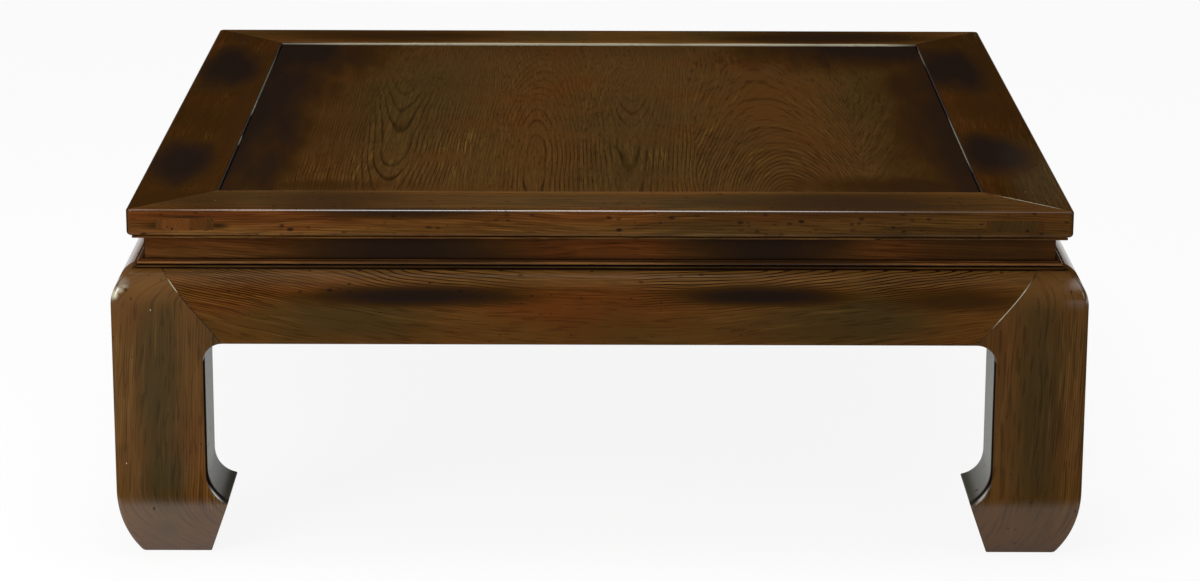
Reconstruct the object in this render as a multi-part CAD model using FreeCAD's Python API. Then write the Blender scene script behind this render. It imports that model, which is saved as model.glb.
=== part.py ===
import FreeCAD, Part
import math
import os

# A square kang table with a recessed waist, bulging aprons and hoof feet.
# Millimetres, +Z up, front towards -Y, origin on the floor under the centre.
#
# Sections are drawn in (u, z): u is the distance outward from the edge of the
# top, so what is set back under the top has a negative u, and z is the height.

Vec = FreeCAD.Vector

# Overall size
top_width = 1200.0
top_depth = 1200.0
table_height = 457.0

# Frame of the top
rail_width = 107.0
top_thickness = 39.0
rail_face_height = 34.5
edge_rounding = 3.0
face_foot_rounding = 4.5
corner_rounding = 8.0
shadow_line_height = 1.3
shadow_line_setback = 8.5
lip_setback = 6.5
lip_rounding = 1.5

# Through tenons of the side rails, with a wedge on each side
through_tenon_inset = 46.0
through_tenon_width = 57.0
through_tenon_height = 15.0
through_tenon_drop = 11.5
wedge_width = 8.0
wedge_tip_width = 2.0
wedge_length = 32.0

# Floating panel
panel_recess = 3.5
board_thickness = 14.0
panel_side_gap = 0.6
panel_edge_rounding = 1.2
panel_tongue_thickness = 6.0
panel_tongue_length = 9.0
panel_tongue_drop = 4.0
board_tongue_thickness = 4.0
board_tongue_length = 5.0
board_joint_shares = (0.170, 0.352, 0.471, 0.633, 0.855)

# Battens under the panel
batten_width = 42.0
batten_height = 18.0
batten_dovetail_depth = 4.5
batten_dovetail_flare = 3.0
batten_tenon_length = 22.0
batten_tenon_thickness = 10.0
batten_place_shares = (-0.30, 0.0, 0.30)

# Waist
waist_height = 29.0
waist_setback = 20.0
waist_thickness = 14.0
waist_tongue_thickness = 5.0
waist_tongue_setback = 3.5
waist_tongue_height = 5.0
waist_tongue_end_gap = 18.0

# Beaded moulding under the waist
moulding_height = 11.0
moulding_setback = 11.0
bead_height = 4.6
bead_drop = 1.6
bead_groove_setback = 15.5
bead_groove_height = 1.0
fillet_height = 2.6
fillet_setback = 9.5
foot_groove_setback = 12.5
moulding_tongue_height = 4.0

# Apron
apron_height = 91.7
shoulder_run = 25.0
shoulder_drop = 41.5
apron_tenon_thickness = 14.0
apron_tenon_setback = 8.0
apron_tenon_length = 18.0
apron_tenon_height = 50.0
apron_tenon_drop = 26.0

# Legs
leg_width = 116.0
leg_overhang = 20.5
leg_arris = 8.0
apron_fillet = 25.0
mitre_top_inset = 44.5
toe_length = 26.5
toe_height = 70.3
toe_hollow_height = 44.5
foot_curve_height = 90.0
foot_curve_run = 28.0
foot_heel_reach = 2.0
post_tenon_thickness = 16.0
post_tenon_width = 26.0
post_tenon_height = 9.0
post_tenon_edge = 4.0

# Hanging keys behind waist and apron
key_width = 34.0
key_flare = 4.0
key_depth_in_apron = 5.0
key_proud = 8.0
key_drop_in_apron = 62.0
key_tenon_height = 6.0
key_place_share = 0.42

# Fits
joint_clearance = 0.2
groove_depth_clearance = 0.5
cut_overrun = 5.0

# Heights worked out from the sizes above
rail_underside = table_height - top_thickness
face_foot = table_height - rail_face_height
waist_foot = rail_underside - waist_height
apron_top = waist_foot - moulding_height
apron_bottom = apron_top - apron_height
shoulder_foot = apron_top - shoulder_drop
panel_top = table_height - panel_recess
panel_bottom = panel_top - board_thickness

# Places worked out from the sizes above
half_width = top_width / 2
half_depth = top_depth / 2
shoulder_top_u = leg_overhang - shoulder_run
stock_inner_u = -(waist_setback + waist_thickness)
leg_inner_u = leg_overhang - leg_width
mitre_foot_u = leg_inner_u - apron_fillet
mitre_top_u = -mitre_top_inset
through_tenon_top = table_height - through_tenon_drop
through_tenon_bottom = through_tenon_top - through_tenon_height
panel_tongue_top = panel_top - panel_tongue_drop
panel_tongue_bottom = panel_tongue_top - panel_tongue_thickness


# Drawing helpers

def wire(steps, place):
    """Closed wire through steps: a point, or an arc as (middle point, end point)."""
    edges = []
    last_step = steps[-1]
    here = last_step[1] if isinstance(last_step[0], tuple) else last_step
    for step in steps:
        if isinstance(step[0], tuple):
            middle, end = step
            edges.append(Part.Arc(place(here), place(middle), place(end)).toShape())
        else:
            end = step
            if place(here).distanceToPoint(place(end)) > Part.Precision.confusion():
                edges.append(Part.LineSegment(place(here), place(end)).toShape())
        here = end
    return Part.Wire(Part.__sortEdges__(edges))


def solid(steps, place, travel):
    """Solid swept straight from a closed outline."""
    return Part.Face(wire(steps, place)).extrude(travel)


def along_x(steps, start, end):
    """Solid with an outline in (y, z), running along X from start to end."""
    return solid(steps, lambda p: Vec(start, p[0], p[1]), Vec(end - start, 0, 0))


def along_y(steps, start, end):
    """Solid with an outline in (x, z), running along Y from start to end."""
    return solid(steps, lambda p: Vec(p[0], start, p[1]), Vec(0, end - start, 0))


def upright(steps, bottom, top):
    """Solid with an outline in (x, y), standing from bottom to top."""
    return solid(steps, lambda p: Vec(p[0], p[1], bottom), Vec(0, 0, top - bottom))


def block(low, high):
    """Box between two opposite corners."""
    return Part.makeBox(high[0] - low[0], high[1] - low[1], high[2] - low[2], Vec(*low))


def side_arc(tangent, end):
    """Middle point of an arc that is upright at the tangent point and ends at end."""
    run = end[0] - tangent[0]
    rise = end[1] - tangent[1]
    radius = (run ** 2 + rise ** 2) / (2 * abs(run))
    half_turn = math.asin(min(1, abs(rise) / radius)) / 2
    return (
        tangent[0] + math.copysign(radius * (1 - math.cos(half_turn)), run),
        tangent[1] + math.copysign(radius * math.sin(half_turn), rise),
    )


def rounding(corner, before, after, radius):
    """Two steps that round a square corner, coming from before and leaving to after."""
    start = (corner[0] + before[0] * radius, corner[1] + before[1] * radius)
    end = (corner[0] + after[0] * radius, corner[1] + after[1] * radius)
    inward = radius * (1 - math.sqrt(0.5))
    middle = (
        corner[0] + (before[0] + after[0]) * inward,
        corner[1] + (before[1] + after[1]) * inward,
    )
    return [start, (middle, end)]


def fuse(*shapes):
    """One solid of several overlapping or touching shapes."""
    return shapes[0].multiFuse(list(shapes[1:])).removeSplitter()


# The four sides and the four corners

# name, turn about Z, half length along the side, half distance from side to side
SIDES = (
    ("front", 0, half_width, half_depth),
    ("right", 90, half_depth, half_width),
    ("back", 180, half_width, half_depth),
    ("left", 270, half_depth, half_width),
)

# name, turn about Z, sign of x, sign of y
CORNERS = (
    ("front_right", 0, 1, -1),
    ("back_right", 90, 1, 1),
    ("back_left", 180, -1, 1),
    ("front_left", 270, -1, -1),
)


def turned(shape, angle):
    """Copy of a front piece turned about the table's upright axis."""
    copy = shape.copy()
    copy.rotate(Vec(0, 0, 0), Vec(0, 0, 1), angle)
    return copy


def facing(steps, half_out):
    """Steps in (u, z) as steps in (y, z) for a piece on the front side."""
    def turn(point):
        return (-(half_out + point[0]), point[1])

    return [
        (turn(step[0]), turn(step[1])) if isinstance(step[0], tuple) else turn(step)
        for step in steps
    ]


def mitre_wedge(half_along, half_out, outward, inward):
    """Plan region of a front piece between the two 45 degree mitres of a frame."""
    steps = [
        (-(half_along + outward), -(half_out + outward)),
        (half_along + outward, -(half_out + outward)),
        (half_along - inward, -(half_out - inward)),
        (-(half_along - inward), -(half_out - inward)),
    ]
    return upright(steps, -cut_overrun, table_height + cut_overrun)


def mitred_strip(steps, half_along, half_out):
    """Front strip with a section in (u, z) and 45 degree mitres in plan."""
    reach = half_along + leg_overhang + cut_overrun
    strip = along_x(facing(steps, half_out), -reach, reach)
    depth = rail_width + cut_overrun
    return strip.common(mitre_wedge(half_along, half_out, leg_overhang + cut_overrun, depth))


def strip_block(u_low, u_high, z_low, z_high, half_length, half_out, middle=0.0):
    """Box on the front side, between two distances u and two heights."""
    low = (middle - half_length, -(half_out + u_high), z_low)
    high = (middle + half_length, -(half_out + u_low), z_high)
    return block(low, high)


# Frame of the top

def rail_section():
    """Section of a top rail: a rounded inner edge, a shadow line and a set back lip."""
    lip_top = face_foot - shadow_line_height
    steps = [(-rail_width, rail_underside)]
    steps += rounding((-rail_width, table_height), (0, -1), (1, 0), edge_rounding)
    steps += [
        (0, table_height),
        (0, face_foot),
        (-shadow_line_setback, face_foot),
        (-shadow_line_setback, lip_top),
        (-lip_setback, lip_top),
    ]
    steps += rounding((-lip_setback, rail_underside), (0, 1), (-1, 0), lip_rounding)
    return steps


def edges_at(shape, height):
    """Edges of a shape that lie level at a height."""
    def level(edge):
        return all(abs(vertex.Z - height) < Part.Precision.confusion() for vertex in edge.Vertexes)

    return [edge for edge in shape.Edges if level(edge)]


def rounded_slab(half_along, half_out):
    """Slab as large as the top, rounded at its corners and then along both faces."""
    slab = block((-half_along, -half_out, face_foot), (half_along, half_out, table_height))
    level = edges_at(slab, table_height) + edges_at(slab, face_foot)
    upright_edges = [edge for edge in slab.Edges if not any(edge.isSame(other) for other in level)]
    slab = slab.makeFillet(corner_rounding, upright_edges)
    slab = slab.makeFillet(edge_rounding, edges_at(slab, table_height))
    return slab.makeFillet(face_foot_rounding, edges_at(slab, face_foot))


def rounding_waste(half_along, half_out):
    """What is planed off the frame of the top to round its corners and edges."""
    low = (-half_along - cut_overrun, -half_out - cut_overrun, face_foot)
    high = (half_along + cut_overrun, half_out + cut_overrun, table_height + cut_overrun)
    return block(low, high).cut(rounded_slab(half_along, half_out))


def plain_rail(half_along, half_out):
    """Mitred rail with the panel groove and the grooves under it, on the front side."""
    rail = mitred_strip(rail_section(), half_along, half_out)
    cuts = [panel_room(half_along, half_out), waist_groove(half_along, half_out)]
    cuts.append(rounding_waste(half_along, half_out))
    cuts += key_tenons(half_along, half_out, joint_clearance)
    return rail.cut(cuts)


def panel_room(half_along, half_out):
    """Room that the tongues round the panel take, in the grooves of all four rails."""
    reach = panel_tongue_length + groove_depth_clearance - rail_width
    low = (-half_along - reach, -half_out - reach, panel_tongue_bottom - joint_clearance)
    high = (half_along + reach, half_out + reach, panel_tongue_top + joint_clearance)
    return block(low, high)


def waist_groove(half_along, half_out):
    """Groove under a rail for the top tongue of the waist."""
    u_high = -(waist_setback + waist_tongue_setback) + joint_clearance
    u_low = u_high - waist_tongue_thickness - 2 * joint_clearance
    half_length = waist_tongue_half_length(half_along) + joint_clearance
    return strip_block(
        u_low, u_high, rail_underside - cut_overrun,
        rail_underside + waist_tongue_height + groove_depth_clearance, half_length, half_out,
    )


def through_tenon(sign):
    """Through tenon of a side rail in the front rail: from the mitre to the front face."""
    outer = half_width - through_tenon_inset
    inner = outer - through_tenon_width
    steps = [
        (sign * outer, -half_depth),
        (sign * outer, -half_depth + through_tenon_inset),
        (sign * inner, -half_depth + through_tenon_inset + through_tenon_width),
        (sign * inner, -half_depth),
    ]
    return upright(steps, through_tenon_bottom, through_tenon_top)


def tenon_wedges_at(sign):
    """Two wedges beside a through tenon, driven in from the front face."""
    outer = half_width - through_tenon_inset
    inner = outer - through_tenon_width
    wedges = []
    for edge, away in ((outer, 1), (inner, -1)):
        steps = [
            (sign * edge, -half_depth),
            (sign * (edge + away * wedge_width), -half_depth),
            (sign * (edge + away * wedge_tip_width), -half_depth + wedge_length),
            (sign * edge, -half_depth + wedge_length),
        ]
        wedges.append(upright(steps, through_tenon_bottom, through_tenon_top))
    return wedges


def cross_rail():
    """Front rail, mortised through at both ends."""
    rail = plain_rail(half_width, half_depth)
    cuts = []
    for sign in (-1, 1):
        cuts.append(through_tenon(sign))
        cuts += tenon_wedges_at(sign)
        cuts.append(post_tenon_cut(sign))
    return rail.cut(cuts)


def side_rail():
    """Right rail with its through tenons and the mortises for the battens."""
    rail = turned(plain_rail(half_depth, half_width), 90)
    front_tenon = through_tenon(1)
    back_tenon = front_tenon.mirror(Vec(0, 0, 0), Vec(0, 1, 0))
    rail = fuse(rail, front_tenon, back_tenon)
    cuts = [panel_room(half_width, half_depth)]
    cuts += [batten_tenon(y, 1, joint_clearance) for y in batten_places()]
    cuts += [post_mortise(sign) for sign in (-1, 1)]
    return rail.cut(cuts)


# Double tenon on top of each leg's post, one into each of the two rails

def post_tenons(allowance):
    """Both tenons of the front right leg, in the corner's own (x, y) from the top's corner."""
    near = stock_inner_u - post_tenon_edge + allowance
    far = near - post_tenon_thickness - 2 * allowance
    inner = leg_inner_u + post_tenon_edge - allowance
    outer = inner + post_tenon_width + 2 * allowance
    bottom = rail_underside - (cut_overrun if allowance else 0)
    top = rail_underside + post_tenon_height + (groove_depth_clearance if allowance else 0)
    front_tenon = block((inner, -near, bottom), (outer, -far, top))
    side_tenon = block((far, -outer, bottom), (near, -inner, top))
    return front_tenon, side_tenon


def post_tenon_cut(sign):
    """Mortise in the front rail for the leg at one of its ends."""
    cut = post_tenons(joint_clearance)[0]
    cut.translate(Vec(half_width, -half_depth, 0))
    return cut if sign > 0 else cut.mirror(Vec(0, 0, 0), Vec(1, 0, 0))


def post_mortise(sign):
    """Mortise in the right rail for the leg at one of its ends."""
    cut = post_tenons(joint_clearance)[1]
    cut.translate(Vec(half_width, -half_depth, 0))
    return cut if sign < 0 else cut.mirror(Vec(0, 0, 0), Vec(0, 1, 0))


# Floating panel

def board_edges():
    """X of both sides of every board, from left to right."""
    left = -half_width + rail_width + panel_side_gap
    width = -2 * left
    return [left] + [left + width * share for share in board_joint_shares] + [-left]


def board(left, right, first, last):
    """One board: groove on its left, tongue on its right, tongues into the rails."""
    half_length = half_depth - rail_width - panel_side_gap
    top_steps = rounding_pair(left, right, panel_edge_rounding if first else 0,
                              panel_edge_rounding if last else 0)
    body = along_y(top_steps, -half_length, half_length)
    reach = panel_side_gap + panel_tongue_length
    tongue_low = left - (reach if first else 0)
    tongue_high = right + (reach if last else 0)
    rail_tongue = block(
        (tongue_low, -half_length - reach, panel_tongue_bottom),
        (tongue_high, half_length + reach, panel_tongue_top),
    )
    shape = fuse(body, rail_tongue)
    if not last:
        shape = fuse(shape, board_tongue(right, half_length + reach, 0))
    if not first:
        shape = shape.cut(board_tongue(left, half_length + reach + cut_overrun, joint_clearance))
    return shape.cut([batten(y) for y in batten_places()])


def rounding_pair(left, right, left_radius, right_radius):
    """Board section with its top corners rounded where they face the frame."""
    steps = [(left, panel_bottom)]
    if left_radius:
        steps += rounding((left, panel_top), (0, -1), (1, 0), left_radius)
    else:
        steps.append((left, panel_top))
    if right_radius:
        steps += rounding((right, panel_top), (-1, 0), (0, -1), right_radius)
    else:
        steps.append((right, panel_top))
    steps.append((right, panel_bottom))
    return steps


def board_tongue(edge, half_length, allowance):
    """Tongue along the joint of two boards, within the thickness of the rail tongue."""
    middle = (panel_tongue_top + panel_tongue_bottom) / 2
    half_height = board_tongue_thickness / 2 + allowance
    return block(
        (edge - allowance, -half_length, middle - half_height),
        (edge + board_tongue_length + allowance, half_length, middle + half_height),
    )


# Battens

def batten_places():
    """Y of each batten."""
    return [(top_depth - 2 * rail_width) * share for share in batten_place_shares]


def batten_body_half_length():
    """Half the clear width between the side rails."""
    return half_width - rail_width


def batten(y):
    """Batten across the boards, dovetailed into them, without its tenons."""
    half = batten_width / 2
    neck = half - batten_dovetail_flare
    steps = [
        (y - half, panel_bottom - batten_height),
        (y - half, panel_bottom),
        (y - neck, panel_bottom),
        (y - half, panel_bottom + batten_dovetail_depth),
        (y + half, panel_bottom + batten_dovetail_depth),
        (y + neck, panel_bottom),
        (y + half, panel_bottom),
        (y + half, panel_bottom - batten_height),
    ]
    reach = batten_body_half_length()
    return along_x(steps, -reach, reach)


def batten_tenon(y, sign, allowance):
    """Tenon at one end of a batten, in a side rail."""
    middle = panel_bottom - batten_height / 2
    half_height = batten_tenon_thickness / 2 + allowance
    half = batten_width / 2 - batten_dovetail_flare + allowance
    near = batten_body_half_length() - allowance
    far = near + batten_tenon_length + 2 * allowance
    low, high = sorted((sign * near, sign * far))
    return block((low, y - half, middle - half_height), (high, y + half, middle + half_height))


def whole_batten(y):
    """Batten with a tenon at each end."""
    return fuse(batten(y), batten_tenon(y, -1, 0), batten_tenon(y, 1, 0))


# Waist

def waist_tongue_half_length(half_along):
    """Half length of the waist tongues: they stop short of the leg posts."""
    return half_along + leg_inner_u - waist_tongue_end_gap


def waist_board(half_along, half_out):
    """Mitred waist board with a tongue above and a tongue below."""
    outer = -waist_setback
    steps = [
        (stock_inner_u, waist_foot),
        (stock_inner_u, rail_underside),
        (outer, rail_underside),
        (outer, waist_foot),
    ]
    shape = mitred_strip(steps, half_along, half_out)
    half_length = waist_tongue_half_length(half_along)
    tongue_outer = outer - waist_tongue_setback
    tongue = strip_block(
        tongue_outer - waist_tongue_thickness, tongue_outer,
        waist_foot - waist_tongue_height, rail_underside + waist_tongue_height,
        half_length, half_out,
    )
    return fuse(shape, tongue).cut(key_bodies(half_along, half_out))


# Moulding

def moulding_section():
    """Section of the strip: a bead over a groove, a fillet and a foot groove."""
    inner = stock_inner_u
    bead_top = waist_foot - bead_drop
    bead_foot = bead_top - bead_height
    groove_foot = bead_foot - bead_groove_height
    fillet_foot = groove_foot - fillet_height
    bead_root = -moulding_setback - bead_height / 2
    return [
        (inner, waist_foot),
        (-bead_groove_setback, waist_foot),
        (-bead_groove_setback, bead_top),
        (bead_root, bead_top),
        ((-moulding_setback, (bead_top + bead_foot) / 2), (bead_root, bead_foot)),
        (-bead_groove_setback, bead_foot),
        (-bead_groove_setback, groove_foot),
        (-fillet_setback, groove_foot),
        (-fillet_setback, fillet_foot),
        (-foot_groove_setback, fillet_foot),
        (-foot_groove_setback, apron_top),
        (inner, apron_top),
    ]


def moulding_tongue(half_along, half_out, allowance):
    """Tongue under the moulding, in a groove in the top of the apron."""
    u_high = -(waist_setback + waist_tongue_setback) + allowance
    u_low = u_high - waist_tongue_thickness - 2 * allowance
    depth = moulding_tongue_height + (groove_depth_clearance if allowance else 0)
    top = apron_top + (cut_overrun if allowance else 0)
    half_length = waist_tongue_half_length(half_along) + allowance
    return strip_block(u_low, u_high, apron_top - depth, top, half_length, half_out)


def moulding(half_along, half_out):
    """Mitred moulding with a groove for the waist and a tongue for the apron."""
    strip = mitred_strip(moulding_section(), half_along, half_out)
    u_high = -(waist_setback + waist_tongue_setback) + joint_clearance
    u_low = u_high - waist_tongue_thickness - 2 * joint_clearance
    groove = strip_block(
        u_low, u_high, waist_foot - waist_tongue_height - groove_depth_clearance,
        waist_foot + cut_overrun,
        waist_tongue_half_length(half_along) + joint_clearance, half_out,
    )
    shape = fuse(strip, moulding_tongue(half_along, half_out, 0))
    return shape.cut([groove] + key_bodies(half_along, half_out))


# Aprons

def skin_section(bottom):
    """Section of the bulging face that apron and leg share, in (u, z)."""
    foot = (leg_overhang, shoulder_foot)
    top = (shoulder_top_u, apron_top)
    return [
        (stock_inner_u, bottom),
        (leg_overhang, bottom),
        foot,
        (side_arc(foot, top), top),
        (stock_inner_u, apron_top),
    ]


def apron_end_steps(half_along):
    """Front view of an apron: a trapezoid between the two shoulder mitres."""
    return [
        (-(half_along + mitre_foot_u), apron_bottom),
        (half_along + mitre_foot_u, apron_bottom),
        (half_along + mitre_top_u, apron_top),
        (-(half_along + mitre_top_u), apron_top),
    ]


def mitre_u_at(height):
    """Distance u of the shoulder mitre at a height."""
    share = (height - apron_bottom) / apron_height
    return mitre_foot_u + (mitre_top_u - mitre_foot_u) * share


def apron_tenon_outline(allowance):
    """Front view of the apron tenon beyond the mitre, in (u, z)."""
    top = apron_top - apron_tenon_drop + allowance
    bottom = apron_top - apron_tenon_drop - apron_tenon_height - allowance
    reach = apron_tenon_length + allowance
    return [
        (mitre_u_at(bottom) - cut_overrun, bottom),
        (mitre_u_at(bottom) + reach, bottom),
        (mitre_u_at(top) + reach, top),
        (mitre_u_at(top) - cut_overrun, top),
    ]


def apron_tenon_depths(allowance):
    """Distances u of the two cheeks of the apron tenon."""
    low = stock_inner_u + apron_tenon_setback - allowance
    return low, low + apron_tenon_thickness + 2 * allowance


def apron(half_along, half_out):
    """Bulging apron with mitred ends, tenons and the groove for the moulding."""
    section = facing(skin_section(apron_bottom), half_out)
    stock = along_x(section, -half_along, half_along)
    ends = along_y(apron_end_steps(half_along), -half_out - leg_overhang - cut_overrun, 0)
    shape = stock.common(ends)
    low, high = apron_tenon_depths(0)
    for sign in (-1, 1):
        steps = [(sign * (half_along + u), z) for u, z in apron_tenon_outline(0)]
        shape = fuse(shape, along_y(steps, -(half_out + high), -(half_out + low)))
    groove = moulding_tongue(half_along, half_out, joint_clearance)
    return shape.cut([groove] + key_bodies(half_along, half_out))


# Legs, drawn for the front right corner from the top's corner

def leg_side_view():
    """Outline of the leg seen from the front, in (u, z)."""
    foot_outer = (leg_overhang - foot_curve_run, 0)
    curve_start = (leg_overhang, foot_curve_height)
    shoulder = (leg_overhang, shoulder_foot)
    top = (shoulder_top_u, apron_top)
    hollow_start = (leg_inner_u, toe_height + toe_hollow_height)
    toe = (leg_inner_u - toe_length, toe_height)
    return [
        (leg_inner_u - foot_heel_reach, 0),
        foot_outer,
        (side_arc(curve_start, foot_outer), curve_start),
        shoulder,
        (side_arc(shoulder, top), top),
        (leg_inner_u, apron_top),
        hollow_start,
        (side_arc(hollow_start, toe), toe),
    ]


def leg_shaft():
    """Square leg with foot and shoulder: the same outline seen from both sides."""
    view = leg_side_view()
    far = leg_overhang + cut_overrun
    near = leg_inner_u - toe_length - cut_overrun
    from_front = along_y(view, -far, -near)
    from_side = along_x(facing(view, 0), near, far)
    shaft = from_front.common(from_side)
    return rounded_arris(shaft)


def rounded_arris(shaft):
    """Shaft with its outer corner edge rounded from foot to shoulder."""
    edges = []
    for edge in shaft.Edges:
        ends = [vertex.Point for vertex in edge.Vertexes]
        if all(abs(p.x + p.y) < joint_clearance and p.x > mitre_top_u for p in ends):
            edges.append(edge)
    return shaft.makeFillet(leg_arris, edges)


def leg_wing():
    """Part of the leg that carries the fillet under the apron, on the front side."""
    fillet_foot = apron_bottom - apron_fillet
    start = (leg_inner_u, fillet_foot)
    end = (mitre_foot_u, apron_bottom)
    inward = apron_fillet * (1 - math.sqrt(0.5))
    middle = (leg_inner_u - inward, apron_bottom - inward)
    steps = [
        start,
        (middle, end),
        (mitre_top_u, apron_top),
        (mitre_top_u, fillet_foot),
    ]
    wing = along_y(steps, -(leg_overhang + cut_overrun), -stock_inner_u)
    skin = along_x(facing(skin_section(fillet_foot), 0), mitre_foot_u, mitre_top_u)
    return wing.common(skin)


def apron_seat():
    """Room that the end of the front apron takes out of the leg."""
    steps = [
        (mitre_foot_u, apron_bottom),
        (mitre_top_u, apron_top),
        (mitre_top_u, apron_top + cut_overrun),
        (mitre_foot_u - cut_overrun, apron_top + cut_overrun),
        (mitre_foot_u - cut_overrun, apron_bottom),
    ]
    return along_y(steps, -(leg_overhang + cut_overrun), -stock_inner_u)


def apron_mortise():
    """Mortise in the leg for the tenon of the front apron."""
    low, high = apron_tenon_depths(joint_clearance)
    return along_y(apron_tenon_outline(joint_clearance), -high, -low)


def across_corner(shape):
    """Copy of a shape on the corner's other side, mirrored across its diagonal."""
    return shape.mirror(Vec(0, 0, 0), Vec(1, 1, 0))


def leg():
    """Whole leg of the front right corner, from the top's corner."""
    seat = apron_seat()
    mortise = apron_mortise()
    wing = leg_wing()
    post = block((leg_inner_u, -stock_inner_u, apron_top), (stock_inner_u, -leg_inner_u, rail_underside))
    body = leg_shaft().cut([seat, across_corner(seat)])
    body = fuse(body, wing, across_corner(wing), post, *post_tenons(0))
    return body.cut([mortise, across_corner(mortise)])


# Hanging keys

def key_places(half_along):
    """Places of the two keys along a side."""
    return [sign * key_place_share * half_along for sign in (-1, 1)]


def key_bodies(half_along, half_out):
    """Both keys of a side without their tenons: dovetails let into waist and apron."""
    bottom = apron_top - key_drop_in_apron
    keys = []
    for x in key_places(half_along):
        half = key_width / 2
        neck = half - key_flare
        front = -(half_out + stock_inner_u)
        steps = [
            (x - half, front - key_depth_in_apron),
            (x + half, front - key_depth_in_apron),
            (x + neck, front),
            (x + neck, front + key_proud),
            (x - neck, front + key_proud),
            (x - neck, front),
        ]
        keys.append(upright(steps, bottom, rail_underside))
    return keys


def key_tenons(half_along, half_out, allowance):
    """Tenons on top of both keys, in the underside of the rail."""
    half = key_width / 2 - key_flare + allowance
    top = rail_underside + key_tenon_height + (groove_depth_clearance if allowance else 0)
    bottom = rail_underside - (cut_overrun if allowance else 0)
    u_high = stock_inner_u + allowance
    u_low = stock_inner_u - key_proud - allowance
    return [
        strip_block(u_low, u_high, bottom, top, half, half_out, x)
        for x in key_places(half_along)
    ]


def hanging_keys(half_along, half_out):
    """Both keys of a side as separate solids."""
    bodies = key_bodies(half_along, half_out)
    tenons = key_tenons(half_along, half_out, 0)
    return Part.makeCompound([fuse(body, tenon) for body, tenon in zip(bodies, tenons)])


# Assembly

def build():
    """Every node of the table by name."""
    nodes = {}
    nodes["top_rail_front"] = cross_rail()
    nodes["top_rail_back"] = turned(nodes["top_rail_front"], 180)
    nodes["top_rail_right"] = side_rail()
    nodes["top_rail_left"] = turned(nodes["top_rail_right"], 180)
    front_wedges = tenon_wedges_at(-1) + tenon_wedges_at(1)
    back_wedges = [turned(wedge, 180) for wedge in front_wedges]
    nodes["tenon_wedges"] = Part.makeCompound(front_wedges + back_wedges)

    edges = board_edges()
    count = len(edges) - 1
    for index in range(count):
        shape = board(edges[index], edges[index + 1], index == 0, index == count - 1)
        nodes["panel_board_%d" % (index + 1)] = shape
    for name, y in zip(("front", "middle", "back"), batten_places()):
        nodes["panel_batten_" + name] = whole_batten(y)

    for name, angle, half_along, half_out in SIDES:
        nodes["waist_" + name] = turned(waist_board(half_along, half_out), angle)
        nodes["moulding_" + name] = turned(moulding(half_along, half_out), angle)
        nodes["apron_" + name] = turned(apron(half_along, half_out), angle)
        nodes["hanging_keys_" + name] = turned(hanging_keys(half_along, half_out), angle)

    corner_leg = leg()
    for name, angle, sign_x, sign_y in CORNERS:
        shape = turned(corner_leg, angle)
        shape.translate(Vec(sign_x * half_width, sign_y * half_depth, 0))
        nodes["leg_" + name] = shape
    return nodes


os.makedirs("parts", exist_ok=True)
for node_name, node_shape in build().items():
    box = node_shape.BoundBox
    sizes = (box.XLength, box.YLength, box.ZLength)
    print("%-22s solids %d valid %s volume %.0f mm3 size %.1f %.1f %.1f" % (
        (node_name, len(node_shape.Solids), node_shape.isValid(), node_shape.Volume) + sizes))
    node_shape.exportStep("parts/%s.step" % node_name)
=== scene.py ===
# %% [markdown]
# # A kang table of dark lacquered elm
#
# The table is a square frame with a floating panel, a narrow waist, a beaded moulding,
# bulging aprons and four legs that end in hoof feet turned inward. All joinery is already
# packed as solids. This notebook gives those solids soft arrises, an old lacquer finish,
# light and a camera.

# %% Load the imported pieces
import math

import bmesh
import bpy
from mathutils import Euler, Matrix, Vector
from mathutils.bvhtree import BVHTree


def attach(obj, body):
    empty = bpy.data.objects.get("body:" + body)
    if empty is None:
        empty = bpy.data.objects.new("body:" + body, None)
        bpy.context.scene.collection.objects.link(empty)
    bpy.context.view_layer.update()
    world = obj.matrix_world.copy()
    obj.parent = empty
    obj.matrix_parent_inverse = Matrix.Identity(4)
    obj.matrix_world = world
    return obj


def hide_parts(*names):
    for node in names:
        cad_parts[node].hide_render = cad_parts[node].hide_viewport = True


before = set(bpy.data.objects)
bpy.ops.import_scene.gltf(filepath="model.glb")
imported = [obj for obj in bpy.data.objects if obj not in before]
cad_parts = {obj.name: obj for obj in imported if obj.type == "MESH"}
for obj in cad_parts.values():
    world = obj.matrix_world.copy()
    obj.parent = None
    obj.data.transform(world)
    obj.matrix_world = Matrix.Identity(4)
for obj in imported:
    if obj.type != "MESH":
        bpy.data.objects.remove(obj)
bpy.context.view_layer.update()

# %% [markdown]
# The camera stands in front of the table and a little above it, with a long lens, so the
# side edges of the top converge only a little. Its place was solved from the outline of the
# top, the legs and the feet, together with a small turn and a small roll.

# %% Camera
MM = 0.001
SENSOR_WIDTH = 36.0
LENS = 108.28
CAMERA_PLACE = Vector((-10.5, -5029.4, 1542.8)) * MM
CAMERA_PITCH = math.radians(74.96)
CAMERA_TURN = -0.00241
CAMERA_ROLL = 0.0033

camera_data = bpy.data.cameras.new("camera")
camera_data.sensor_width = SENSOR_WIDTH
camera_data.lens = LENS
camera = bpy.data.objects.new("camera", camera_data)
bpy.context.scene.collection.objects.link(camera)
turn = Euler((0, 0, CAMERA_TURN)).to_matrix()
tilt = Euler((CAMERA_PITCH, 0, 0)).to_matrix()
roll = Euler((0, 0, CAMERA_ROLL)).to_matrix()
camera.matrix_world = (turn @ tilt @ roll).to_4x4()
camera.location = CAMERA_PLACE
bpy.context.scene.camera = camera
bpy.context.scene.view_settings.view_transform = "Standard"
print("camera at", tuple(camera.location))

# %% [markdown]
# A finish is a tree of nodes. Two helpers are enough to grow one: the first joins a socket
# to a value or to another socket, and the second adds a node and joins all that it needs.

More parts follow.
